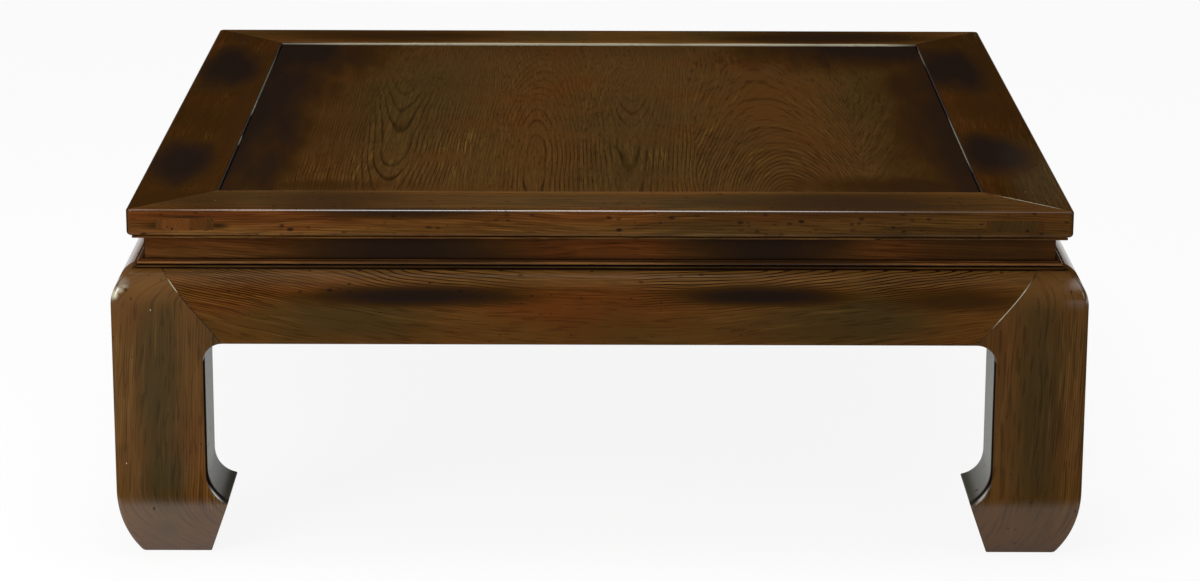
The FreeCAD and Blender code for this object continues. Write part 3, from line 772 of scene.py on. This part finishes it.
def finished_piece(node, name, arris, seam):
    shape = merged_copy(node)
    weight = shape.edges.layers.float.new("bevel_weight_edge")
    rounded = 0
    for edge in shape.edges:
        if edge.calc_face_angle(0) < CREASE:
            continue
        edge.smooth = edge.is_convex
        if not edge.is_convex:
            continue
        middle = (edge.verts[0].co + edge.verts[1].co) / 2
        wanted = seam if touches_neighbour(node, middle) else arris
        edge[weight] = min(wanted, room_beside(edge) * ROOM_SHARE) / WIDEST
        rounded += 1
    for face in shape.faces:
        face.smooth = True
    mesh = bpy.data.meshes.new(name)
    shape.to_mesh(mesh)
    shape.free()
    piece = bpy.data.objects.new(name, mesh)
    bpy.context.scene.collection.objects.link(piece)
    soften = piece.modifiers.new("arrises", "BEVEL")
    soften.width = WIDEST
    soften.segments = ARRIS_SEGMENTS
    soften.limit_method = "WEIGHT"
    soften.use_clamp_overlap = False
    even = piece.modifiers.new("even shading", "WEIGHTED_NORMAL")
    even.keep_sharp = True
    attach(piece, "root")
    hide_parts(node)
    print(name, "edges softened", rounded)
    return piece


print("segments of an arris", ARRIS_SEGMENTS)

# %% [markdown]
# Light. A soft box hangs over the table, long enough to draw one bright line along the front
# arris that fades towards the right end. The main light stands front left and a weaker one
# front right, so the right side of the table is a little darker. Each row has the lamp's
# place, the point that it looks at, its width and height, all in metres, and its radiance.

# %% Soft boxes
SOFT_BOXES = {
    "overhead box": ((-0.15, -0.30, 2.6), (-0.1, -0.2, 0.4), 1.25, 1.2, 5.0),
    "front left box": ((-1.9, -2.3, 1.5), (-0.3, -0.5, 0.3), 1.2, 1.2, 7.5),
    "front right box": ((2.6, -2.6, 1.7), (0, -0.3, 0.3), 1.2, 1.2, 1.6),
}
for name, (place, aim, width, height, radiance) in SOFT_BOXES.items():
    light = bpy.data.lights.new(name, "AREA")
    light.shape = "RECTANGLE"
    light.size = width
    light.size_y = height
    light.energy = radiance * math.pi * width * height
    lamp = bpy.data.objects.new(name, light)
    bpy.context.scene.collection.objects.link(lamp)
    lamp.location = place
    lamp.rotation_mode = "QUATERNION"
    lamp.rotation_quaternion = (Vector(aim) - Vector(place)).to_track_quat("-Z", "Y")
    print(name, "watts", round(light.energy, 2))

# %% [markdown]
# The room is pale at the floor, dark at the height that the table top mirrors, and has a soft
# pale ceiling.

# %% Room
BACKDROP_EDGE = (0.12, 0.17)
CEILING = (0.45, 0.95, 0.02, 1.0)
WHITE = (1, 1, 1, 1)

world = bpy.data.worlds.new("studio")
bpy.context.scene.world = world
world.use_nodes = True
sky = world.node_tree
direction = put(sky, "ShaderNodeTexCoord", {}).outputs["Generated"]
rise = split(sky, direction)["Z"]
backdrop = fade(sky, rise, *BACKDROP_EDGE, 1.0, 0.0)
ceiling = fade(sky, rise, *CEILING)
background = sky.nodes["Background"].inputs
background["Color"].default_value = WHITE
plug(sky, background["Strength"], maths(sky, "MAXIMUM", backdrop, ceiling))
print("room", len(sky.nodes), "nodes")

# %% [markdown]
# The floor is a plain white sheet far wider than the view. Part of its white comes from its
# own colour, which takes the shadow of the table, and part glows for the camera and for
# reflections only.

# %% Floor
FLOOR_RADIUS = 60.0
FLOOR_SEGMENTS = 64
FLOOR_GLOW = 0.90
PAPER_WHITE = (0.95, 0.95, 0.95, 1)

sheet = bmesh.new()
bmesh.ops.create_circle(sheet, cap_ends=True, segments=FLOOR_SEGMENTS, radius=FLOOR_RADIUS)
floor_mesh = bpy.data.meshes.new("floor")
sheet.to_mesh(floor_mesh)
sheet.free()
floor = bpy.data.objects.new("floor", floor_mesh)
bpy.context.scene.collection.objects.link(floor)
paper = bpy.data.materials.new("white paper")
paper.use_nodes = True
paper_tree = paper.node_tree
paper_tree.nodes.remove(paper_tree.nodes["Principled BSDF"])
diffuse = put(paper_tree, "ShaderNodeBsdfDiffuse", {"Color": PAPER_WHITE}).outputs[0]
glow = put(paper_tree, "ShaderNodeEmission", {"Color": WHITE, "Strength": 1.0}).outputs[0]
ray = put(paper_tree, "ShaderNodeLightPath", {}).outputs
seen = maths(paper_tree, "MAXIMUM", ray["Is Camera Ray"], ray["Is Glossy Ray"])
seen = maths(paper_tree, "MAXIMUM", seen, ray["Is Transmission Ray"])
share = maths(paper_tree, "MULTIPLY", seen, FLOOR_GLOW)
blended = put(paper_tree, "ShaderNodeMixShader", {0: share, 1: diffuse, 2: glow}).outputs[0]
plug(paper_tree, paper_tree.nodes["Material Output"].inputs["Surface"], blended)
floor_mesh.materials.append(paper)
print("floor radius", FLOOR_RADIUS)

# %% [markdown]
# The places of wear and painted light are listed in millimetres, as seen from the piece's own
# side of the table: kind, strength, centre, half size and softness of the border. Some spots
# have more than one kind, and some come in pairs, left and right of the middle.

# %% Lists of places
def stained(centre, half_size, border, **strengths):
    return [(kind, strength, centre, half_size, border) for kind, strength in strengths.items()]


def in_pairs(rows):
    pairs = []
    for kind, strength, (x, y, z), half_size, border in rows:
        pairs.append((kind, strength, (-x, y, z), half_size, border))
        pairs.append((kind, strength, (x, y, z), half_size, border))
    return pairs


print("a pair", in_pairs(stained((600, -600, 0), (10, 10, 10), 0.5, Dark=1.0)))

# %% [markdown]
# The side rails are the darkest part of the top: two black clouds on each, weaker ones beside
# them, and a thin russet line along the panel. Painted highlights lie here and there on the low
# wall against the panel, and the right rail has a painted glint in its front mitre. The ends of
# their through tenons show in the front edge. The left one is russet with a dark right end, and
# the right one olive.

# %% Wear and painted light of the side rails
RAIL_WALL = -493.2
WALL_HEIGHT = 455.5


# a painted highlight on the low wall between a rail and the panel
def corner_highlight(strength, x, half_x):
    return "Painted_Highlight", strength, (x, RAIL_WALL, WALL_HEIGHT), (half_x, 0.5, 3), 0.3


SIDE_RAIL_PLACES = [
    ("Dark", 0.30, (0, -570, 457), (560, 50, 10), 0.7),
    ("Red", 0.4, (-430, -600, 440), (200, 30, 30), 0.5),
    ("Red", 0.25, (0, -506, 457), (620, 12, 6), 0.7),
]
LEFT_RAIL_PLACES = SIDE_RAIL_PLACES + [
    ("Dark", 1.0, (-290, -556, 457), (165, 48, 22), 0.8),
    ("Dark", 1.0, (335, -558, 457), (130, 46, 22), 0.8),
    ("Dark", 0.45, (-540, -550, 457), (90, 60, 12), 0.9),
    ("Dark", 0.45, (540, -565, 457), (90, 40, 12), 0.9),
    ("Dark", 0.46, (0, -510, 457), (620, 26, 12), 0.7),
    corner_highlight(0.30, -200, 190),
    corner_highlight(0.50, -20, 50),
    corner_highlight(0.42, 190, 30),
    *stained((600, -525, 438), (12, 40, 14), 0.3, Rubbed=0.30, Red=1.0, Calm=0.9),
    ("Dark", 0.28, (601, -508, 438), (12, 12, 14), 0.25),
]
RIGHT_RAIL_PLACES = SIDE_RAIL_PLACES + [
    ("Dark", 1.0, (310, -535, 457), (190, 60, 22), 0.8),
    ("Dark", 1.0, (-270, -530, 457), (130, 55, 22), 0.8),
    ("Dark", 0.30, (-480, -540, 457), (120, 60, 12), 0.9),
    ("Dark", 0.45, (40, -550, 457), (110, 60, 22), 0.8),
    ("Dark", 0.50, (500, -530, 457), (90, 60, 22), 0.8),
    # olive, with a trace of dust and painted sheen
    *stained((-400, -575, 457), (190, 34, 12), 0.7, Olive=0.9, Dusty=0.05),
    corner_highlight(0.38, -215, 150),
    corner_highlight(0.25, 400, 60),
    *stained((-600, -525, 438), (12, 40, 14), 0.3, Olive=0.7, Dark=0.10, Calm=0.9),
    # a painted glint on the front mitre
    ("Painted_Glint", 0.9, (-546, -546, 457), (50, 50, 10), 0.3),
]
print("places on the side rails", len(LEFT_RAIL_PLACES), len(RIGHT_RAIL_PLACES))

# %% [markdown]
# The front rail is olive brown on top, with a trace of dust and painted sheen, and its edge is
# russet on the left and olive on the right, with painted shade in the shadow line below. The
# arris between them shines, most of all on the left, and the corner against the panel and the
# mitre at its right end carry painted highlights. The back rail is worn in the same way, with
# one more cloud, but has no dust and sheen, no shine and no painted glint.

# %% Wear and painted light of the front and back rails
FRONT_ONLY = ("Dusty", "Shine", "Painted_Glint")

FRONT_RAIL_PLACES = [
    # olive top with a trace of dust and painted sheen
    *stained((0, -550, 461), (800, 60, 6), 0.5, Olive=0.65, Dusty=0.05),
    ("Dark", 0.50, (-340, -550, 460), (110, 60, 8), 0.8),
    ("Dark", 0.60, (330, -550, 460), (190, 60, 8), 0.8),
    ("Dark", 0.45, (-510, -550, 460), (80, 60, 8), 0.8),
    ("Dark", 0.70, (-235, -602, 456), (110, 14, 10), 0.8),
    ("Dark", 0.35, (330, -602, 456), (230, 14, 10), 0.8),
    ("Dark", 0.22, (430, -602, 440), (280, 14, 40), 0.8),
    ("Dark", 0.50, (-560, -602, 436), (22, 14, 5), 0.9),
    ("Dark", 0.60, (-483, -602, 436), (14, 14, 4), 0.9),
    ("Dark", 0.60, (-525, -602, 447.2), (30, 14, 1.0), 0.5),
    # painted shade in the shadow line below the face
    ("Dark", 0.8, (0, -594, 421.8), (800, 8, 1.2), 0.4),
    ("Red", 1.0, (-470, -602, 445), (190, 25, 14), 0.6),
    ("Red", 0.7, (60, -602, 449), (200, 25, 12), 0.6),
    ("Rubbed", 0.3, (-470, -602, 434), (190, 25, 12), 0.7),
    ("Rubbed", 0.2, (20, -602, 434), (190, 25, 12), 0.7),
    ("Rubbed", 0.6, (0, -500, 457), (620, 8, 6), 0.6),
    ("Olive", 0.5, (300, -602, 430), (300, 25, 14), 0.6),
    # painted highlights on the wall against the panel
    ("Painted_Highlight", 0.76, (150, -493.5, 455), (350, 2.2, 2.6), 0.3),
    ("Painted_Highlight", 0.80, (-230, -493.5, 455), (160, 2.2, 2.6), 0.4),
    ("Painted_Highlight", 0.75, (-400, -493.5, 455), (90, 2.2, 2.6), 0.4),
    ("Shine", 1.0, (-120, -602, 457), (460, 12, 12), 0.25),
    ("Shine", 0.45, (0, -602, 457), (800, 12, 12), 0.5),
    # a painted glint on the right mitre
    ("Painted_Glint", 0.9, (546, -546, 457), (50, 50, 10), 0.3),
]
BACK_RAIL_PLACES = [row for row in FRONT_RAIL_PLACES if row[0] not in FRONT_ONLY] + [
    ("Dark", 0.75, (-370, -550, 457), (170, 60, 20), 0.9),
    ("Red", 0.45, (120, -550, 457), (400, 60, 20), 0.8),
]
print("places on the front and back rails", len(FRONT_RAIL_PLACES), len(BACK_RAIL_PLACES))

# %% [markdown]
# The panel is rubbed brown in the middle and dark all round: along the sides, in both far
# corners, and with painted shade against the front rail. Its far half is calm. Olive, russet
# and gold stripes follow the boards.

# %% Wear and painted shade of the panel
PANEL_LEVEL = 453
PANEL_REACH = 30

PANEL_PLACES = [
    (kind, strength, (x, y, PANEL_LEVEL), (half_x, half_y, PANEL_REACH), border)
    for kind, strength, x, y, half_x, half_y, border in [
        ("Dark", 1.0, -535, 0, 132, 700, 0.7),
        ("Dark", 0.30, -430, 0, 100, 800, 0.8),
        ("Dark", 0.85, 520, -100, 102, 700, 0.8),
        ("Dark", 1.0, -500, 440, 160, 220, 0.8),
        ("Dark", 1.0, 500, 490, 260, 170, 0.95),
        ("Dark", 0.60, 430, -450, 170, 60, 0.8),
        ("Dark", 0.45, -420, -450, 170, 40, 0.8),
        # painted shade against the front rail
        ("Dark", 0.65, 0, -494, 520, 9, 0.7),
        ("Dark", 0.25, 20, 520, 520, 130, 0.8),
        ("Olive", 0.7, -290, 60, 90, 300, 0.8),
        ("Olive", 0.4, -440, 0, 60, 500, 0.8),
        ("Olive", 0.5, 40, -200, 60, 300, 0.8),
        ("Olive", 0.5, 400, 100, 60, 300, 0.8),
        ("Red", 0.2, -80, 0, 60, 500, 0.8),
        ("Red", 0.3, 250, 0, 80, 400, 0.8),
        ("Red", 0.3, -370, 0, 50, 400, 0.8),
        ("Calm", 0.75, 0, 440, 800, 390, 0.9),
        ("Calm", 0.80, 250, 150, 130, 260, 0.8),
        ("Gold", 0.5, -190, -240, 40, 150, 0.8),
        ("Gold", 0.4, 60, -260, 25, 160, 0.8),
        ("Gold", 0.4, -360, -330, 40, 120, 0.8),
    ]
]
print("places on the panel", len(PANEL_PLACES))

# %% [markdown]
# The waist is russet with two dark clouds and a fainter one at the right. The moulding is one
# bead: a painted highlight in russet and tan along its crown, dark in the groove above and in
# the hollows below, and olive between those.

# %% Wear and painted light of the waist and the moulding
WAIST_PLACES = [
    ("Dark", 0.80, (-255, -580, 400), (140, 30, 50), 0.9),
    ("Dark", 0.80, (215, -580, 400), (105, 30, 50), 0.8),
    ("Dark", 0.40, (500, -580, 400), (110, 30, 50), 0.8),
    ("Red", 0.8, (-20, -580, 404), (260, 30, 16), 0.6),
    ("Red", 0.5, (-480, -580, 410), (120, 30, 12), 0.6),
    ("Rubbed", 0.25, (-500, -580, 396), (120, 30, 9), 0.8),
]
MOULDING_PLACES = [
    # dark in the hollows and the groove of the bead
    ("Dark", 0.85, (0, -588, 382.3), (800, 30, 1.2), 0.5),
    ("Dark", 0.85, (0, -588, 378.0), (800, 30, 1.5), 0.4),
    ("Dark", 0.70, (0, -580, 389.3), (800, 5.5, 1.4), 0.3),
    ("Dark", 0.40, (-240, -589, 380), (160, 30, 30), 0.8),
    ("Dark", 0.50, (230, -589, 380), (160, 30, 30), 0.8),
    ("Olive", 0.50, (0, -590, 380.5), (800, 12, 1.4), 0.4),
    # a painted highlight along the crown of the bead, which faces the light
    *stained((0, -590, 384.8), (800, 5, 2.0), 0.4, Red=0.60, Rubbed=0.75),
]
print("places on waist and moulding", len(WAIST_PLACES), len(MOULDING_PLACES))

# %% [markdown]
# The apron is rubbed to tan along its rounded top, which also paints the sheen of the light
# above, and has a touch of dust and painted sheen at the left. It is calm along its foot, with
# two black clouds between and a third, fainter one at the right. The corner under the moulding
# is dark, and the mitres to the legs carry painted glints in places, on the apron's side and on
# the leg's.

# %% Wear and painted light of the aprons
SHOULDER_LINES = [
    # dark in the corner under the moulding
    ("Dark", 0.80, (0, -586, 379), (700, 9.5, 3), 0.3),
    # painted glints on the mitres between apron and leg
    ("Painted_Glint", 1.0, (-545, -619, 360), (16, 30, 8), 0.4),
    ("Painted_Glint", 1.0, (521, -619, 340), (30, 40, 32), 0.4),
]
APRON_PLACES = SHOULDER_LINES + [
    ("Dark", 1.0, (-228, -622, 350), (118, 40, 12), 0.85),
    ("Dark", 1.0, (205, -622, 350), (95, 40, 11), 0.85),
    ("Dark", 0.50, (460, -622, 345), (90, 40, 16), 0.8),
    ("Dark", 0.20, (0, -622, 305), (700, 40, 24), 0.8),
    ("Olive", 0.9, (-310, -620, 318), (120, 40, 26), 0.7),
    ("Olive", 0.9, (300, -620, 316), (120, 40, 28), 0.7),
    # tan along the rounded top: rubbed, and a painted sheen of the light above
    ("Rubbed", 0.75, (0, -600, 380), (700, 60, 17), 0.6),
    # a touch of dust and painted sheen on the left of the rounded top
    ("Dusty", 0.05, (-430, -600, 374), (150, 60, 14), 0.7),
    ("Red", 0.9, (-10, -622, 340), (150, 40, 26), 0.7),
    ("Red", 0.6, (-480, -622, 335), (60, 40, 12), 0.7),
    ("Red", 0.45, (-420, -610, 360), (130, 40, 22), 0.7),
    ("Calm", 0.85, (0, -622, 312), (700, 40, 28), 0.6),
]
print("places on an apron", len(APRON_PLACES))

# %% [markdown]
# A leg is olive down the middle and rubbed along both arrises, on the shoulder, where the tan
# also paints part of the sheen of the light above, and on the hoof, with a trace of dust and
# painted sheen over it. The shoulder and the hoof are calm. The gloss of the left shoulder ends
# in a small bright leaf, a painted highlight in three touches, and another painted highlight
# lies in the bend above each toe.

# %% Wear and painted light of the legs
LEG_PLACES = SHOULDER_LINES + in_pairs([
    ("Olive", 0.8, (560, -622, 200), (26, 30, 190), 0.7),
    ("Rubbed", 0.5, (612, -622, 200), (18, 40, 190), 0.8),
    ("Rubbed", 0.35, (516, -622, 200), (16, 30, 190), 0.8),
    ("Red", 0.20, (516, -622, 200), (20, 30, 250), 0.8),
    ("Calm", 0.4, (562, -622, 150), (40, 30, 260), 0.7),
    ("Calm", 0.95, (553, -622, 15), (90, 40, 62), 0.25),
    *stained((550, -600, 20), (60, 60, 50), 0.6, Rubbed=0.4, Red=0.5),
    # the shoulder's tan: rubbed, and a painted sheen of the light above
    ("Rubbed", 0.9, (580, -600, 365), (60, 60, 24), 0.8),
    ("Shine", 1.0, (612, -612, 350), (16, 16, 26), 0.5),
    ("Shine", 1.0, (488, -619, 82), (26, 8, 24), 0.5),
]) + [
    ("Dark", 0.22, (-553, -622, 38), (16, 30, 10), 0.9),
    # a trace of dust and painted sheen over the legs
    ("Dusty", 0.065, (-560, -622, 240), (100, 40, 150), 0.2),
    ("Dusty", 0.035, (560, -622, 240), (100, 40, 150), 0.2),
    # painted highlights in the bend above each toe
    ("Painted_Highlight", 0.8, (-492, -616.5, 82), (13, 1.8, 17), 0.4),
    ("Painted_Highlight", 0.6, (492, -616.5, 82), (13, 1.8, 17), 0.4),
    ("Red", 0.25, (-580, -600, 365), (60, 60, 24), 0.8),
    ("Red", 0.35, (580, -600, 365), (60, 60, 24), 0.8),
    ("Calm", 0.95, (-590, -600, 372), (120, 90, 60), 0.5),
    ("Calm", 1.0, (590, -600, 372), (120, 90, 60), 0.5),
    ("Gloss", 0.07, (-610, -616, 352), (14, 20, 14), 0.9),
    ("Gloss", 0.05, (-570, -600, 374), (46, 60, 20), 0.9),
    ("Gloss", 0.30, (606, -616, 354), (14, 20, 14), 0.9),
    # a painted highlight: the bright leaf at the end of the left shoulder's gloss
    ("Painted_Highlight", 0.95, (-614.5, -617, 350.5), (4.0, 9, 5), 0.6),
    ("Painted_Highlight", 0.75, (-609.5, -619, 356.0), (5, 9, 3.2), 0.7),
    ("Painted_Highlight", 0.40, (-603, -619, 360.2), (5, 9, 2.2), 0.8),
]
print("places on a leg", len(LEG_PLACES))

# %% [markdown]
# The wedges show as narrow dark ends beside the tenons. Each piece starts from one of these
# stains, and the wear and painted light above change it.

# %% Wear of the wedges, and the stains
WEDGE_PLACES = [
    ("Dark", 0.30, (-493, -600, 438), (14, 40, 20), 0.3),
    ("Dark", 0.30, (525, -600, 438), (60, 40, 20), 0.3),
]
UMBER = (0.080, 0.039, 0.0102)
DARK_UMBER = (0.033, 0.0128, 0.0021)
CHESTNUT = (0.108, 0.045, 0.0090)
MAHOGANY = (0.100, 0.035, 0.0075)
BEAD_BROWN = (0.037, 0.0130, 0.0031)
LEG_BROWN = (0.098, 0.046, 0.011)
WEDGE_BROWN = (0.080, 0.031, 0.008)
INNER_BROWN = (0.045, 0.02, 0.006)
print("places on the wedges", len(WEDGE_PLACES))

# %% [markdown]
# The rails were cut far from the pith, so their rings are nearly straight lines. The side
# rails have a darker stain and a fainter figure. The back rail mirrors more of the pale
# backdrop than the front rail does, so it gets a thinner coat, and it is a little lighter.

# %% Finish of the rails
SIDES = {"front": FRONT, "left": LEFT, "back": BACK, "right": RIGHT}


def ring_rule(offset, depth, lean, width, wander, **more):
    rule = {"Pith Offset": offset, "Pith Depth": depth, "Lean": lean}
    return {**rule, "Ring Width": width, "Wander": wander, **more}


SIDE_COAT = {"Downward": 0.1, "Arris": 0.1}
SIDE_FIGURE = {"Mottle": 0.2, "Contrast": 0.7, "Line Strength": 0.22}
RAIL_FINISHES = {
    "front": (CHESTNUT, FRONT_RAIL_PLACES, {"Downward": 0.1}, {"Contrast": 1.1}),
    "left": (DARK_UMBER, LEFT_RAIL_PLACES, SIDE_COAT, SIDE_FIGURE),
    "back": (CHESTNUT, BACK_RAIL_PLACES, {**SIDE_COAT, "Arris": 0.0, "Face": 0.005}, {"Level": 1.12}),
    "right": (DARK_UMBER, RIGHT_RAIL_PLACES, SIDE_COAT, SIDE_FIGURE),
}
rail_rings = ring_rule(-0.7, -0.2, 0.02, 0.0034, 0.03)
woods = {}
for number, (side, angle) in enumerate(SIDES.items()):
    stain, listed, coat, finish = RAIL_FINISHES[side]
    woods["top_rail_" + side] = lacquered_elm(
        "rail_elm_" + side, angle, (0, 0, angle), rail_rings, 1.0 + number, stain, listed,
        pit=(6, 1.6, 0.38, 0.003), coat=coat, finish=finish,
    )
print("materials", len(woods))

# %% [markdown]
# Waist, moulding and apron have the same finish on all four sides, each with its own seed.
# The apron's bow lets its rings open as long arches.

# %% Finish of waist, moulding and apron
BELOW_THE_TOP = {
    "waist": {
        "ring": ring_rule(-0.5, -0.2, 0.03, 0.0034, 0.03),
        "seed": 11.0, "base": MAHOGANY, "listed": WAIST_PLACES, "pit": (9, 1.2, 0.08, 0.0),
        "finish": {"Level": 0.9},
    },
    "moulding": {
        "ring": ring_rule(-0.5, -0.2, 0.02, 0.005, 0.02),
        "seed": 21.0, "base": BEAD_BROWN, "listed": MOULDING_PLACES, "pit": (20, 1.2, 0.04, 0.0),
        "coat": {"Arris": 0.08}, "finish": {"Level": 1.75},
    },
    "apron": {
        "ring": ring_rule(-0.60, -0.05, 0.02, 0.0028, 0.035, Bow=-0.17, Shiver=2.0),
        "seed": 31.0, "base": CHESTNUT, "listed": APRON_PLACES, "pit": (7, 1.5, 0.24, 0.0),
        "coat": {"Arris": 0.02, "Face": 0.006, "Glance Strength": 0.85},
        "finish": {"Contrast": 1.1, "Line Strength": 0.90},
    },
}
for number, (side, angle) in enumerate(SIDES.items()):
    for part, recipe in BELOW_THE_TOP.items():
        recipe = {**recipe, "seed": recipe["seed"] + number}
        wood = lacquered_elm(part + "_elm_" + side, angle, (0, 0, angle), **recipe)
        woods[part + "_" + side] = wood
print("materials", len(woods))

# %% [markdown]
# The legs stand upright, and so does their grain. Each row has the leg's side, where its pith
# lies, how light it is, and how much coat is left on faces that look down. The front right leg
# is darker, painted shade of the side away from the main light.

# %% Finish of the legs
UPRIGHT = (0, math.radians(90), 0)
LEGS = {
    "leg_front_left": (FRONT, -0.80, -0.38, 0.98, 0.37),
    # darker than the front left leg: painted shade of the side away from the main light
    "leg_front_right": (FRONT, -0.50, 0.42, 0.86, 0.21),
    "leg_back_left": (BACK, 0.42, -0.44, 0.95, 0.35),
    "leg_back_right": (BACK, 0.78, 0.45, 1.0, 0.35),
}
for number, (node, (angle, offset, depth, level, downward)) in enumerate(LEGS.items()):
    woods[node] = lacquered_elm(
        node + "_elm", angle, UPRIGHT, ring_rule(offset, depth, 0.05, 0.0024, 0.02),
        41.0 + number, LEG_BROWN, LEG_PLACES, pit=(7, 1.5, 0.20, 0.006),
        coat={"Downward": downward, "Glance Strength": 0.36},
        finish={"Level": level, "Contrast": 0.75, "Line Strength": 0.42}, dust_and_sheen_inside=True,
    )
print("materials", len(woods))

# %% [markdown]
# The boards of the panel run from front to back. Each comes from its own place in the trunk:
# the outer two have nearly straight lines, and the four middle ones were cut close enough over
# the pith for arches and long loops. A row has the pith's offset and depth, its lean, what
# else the board's rings need, and how light the board is.

# %% Finish of the panel boards
ACROSS = (0, 0, LEFT)
BOARD_FINISH = {"Contrast": 0.6, "Gold": 0.14, "Mottle": 0.25, "Line Strength": 0.50}
BOARDS = {
    "panel_board_1": (-0.60, -0.40, 0.03, {}, 0.84),
    "panel_board_2": (-0.285, -0.3985, 0.045, {}, 0.86),
    "panel_board_3": (-0.085, -0.4085, -0.05, {"Bow": 0.05}, 0.86),
    "panel_board_4": (0.042, -0.4055, 0.05, {"Bow": -0.076}, 0.88),
    "panel_board_5": (0.252, -0.3485, -0.11, {"Bow": -0.12, "Follow": 5.0}, 0.85),
    "panel_board_6": (0.75, -0.35, 0.4, {}, 0.82),
}
for number, (node, (offset, depth, lean, more, level)) in enumerate(BOARDS.items()):
    ring = ring_rule(offset, depth, lean, 0.0042, 0.022, Shiver=0.35, **more)
    woods[node] = lacquered_elm(
        node + "_elm", FRONT, ACROSS, ring, 61.0 + number, UMBER, PANEL_PLACES,
        pit=(16, 1.0, 0.05, 0.003), coat={"Arris": 0.1}, finish={"Level": level, **BOARD_FINISH},
    )
print("materials", len(woods))

# %% [markdown]
# The wedges are too small for a figure. Battens and hanging keys are hidden, so they share
# one plain finish.

# %% Finish of the wedges and the hidden pieces
woods["tenon_wedges"] = lacquered_elm(
    "wedge_elm", FRONT, ACROSS, {"Pith Offset": 0.3, "Ring Width": 0.004}, 77.0, WEDGE_BROWN,
    WEDGE_PLACES, finish={"Contrast": 0.3, "Mottle": 0.0, "Line Strength": 0.0},
)
inner_wood = lacquered_elm(
    "inner_elm", FRONT, ACROSS, {"Pith Offset": 0.3, "Ring Width": 0.005}, 81.0, INNER_BROWN, [],
)
print("materials", len(woods) + 1)

# %% [markdown]
# Each family of pieces has its own width of arris and of seam, in millimetres. The edges of
# the legs and aprons, which knees and brooms meet, are the roundest, and those of the moulding
# and the wedges have hardly been touched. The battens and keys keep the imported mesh.

# %% Pieces
FAMILIES = {
    "top_rail": (0.6, 0.2),
    "tenon_wedges": (0.3, 0.12),
    "panel_board": (0.8, 0.05),
    "waist": (0.6, 0.2),
    "moulding": (0.4, 0.2),
    "apron": (1.2, 0.4),
    "leg": (1.2, 0.4),
}
for node in sorted(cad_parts):
    family = next((key for key in FAMILIES if node.startswith(key)), None)
    if family is None:
        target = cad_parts[node]
        target.data.materials.clear()
        target.data.materials.append(inner_wood)
        continue
    arris, seam = FAMILIES[family]
    piece = finished_piece(node, node + "_finished", arris * MM, seam * MM)
    piece.data.materials.append(woods[node])
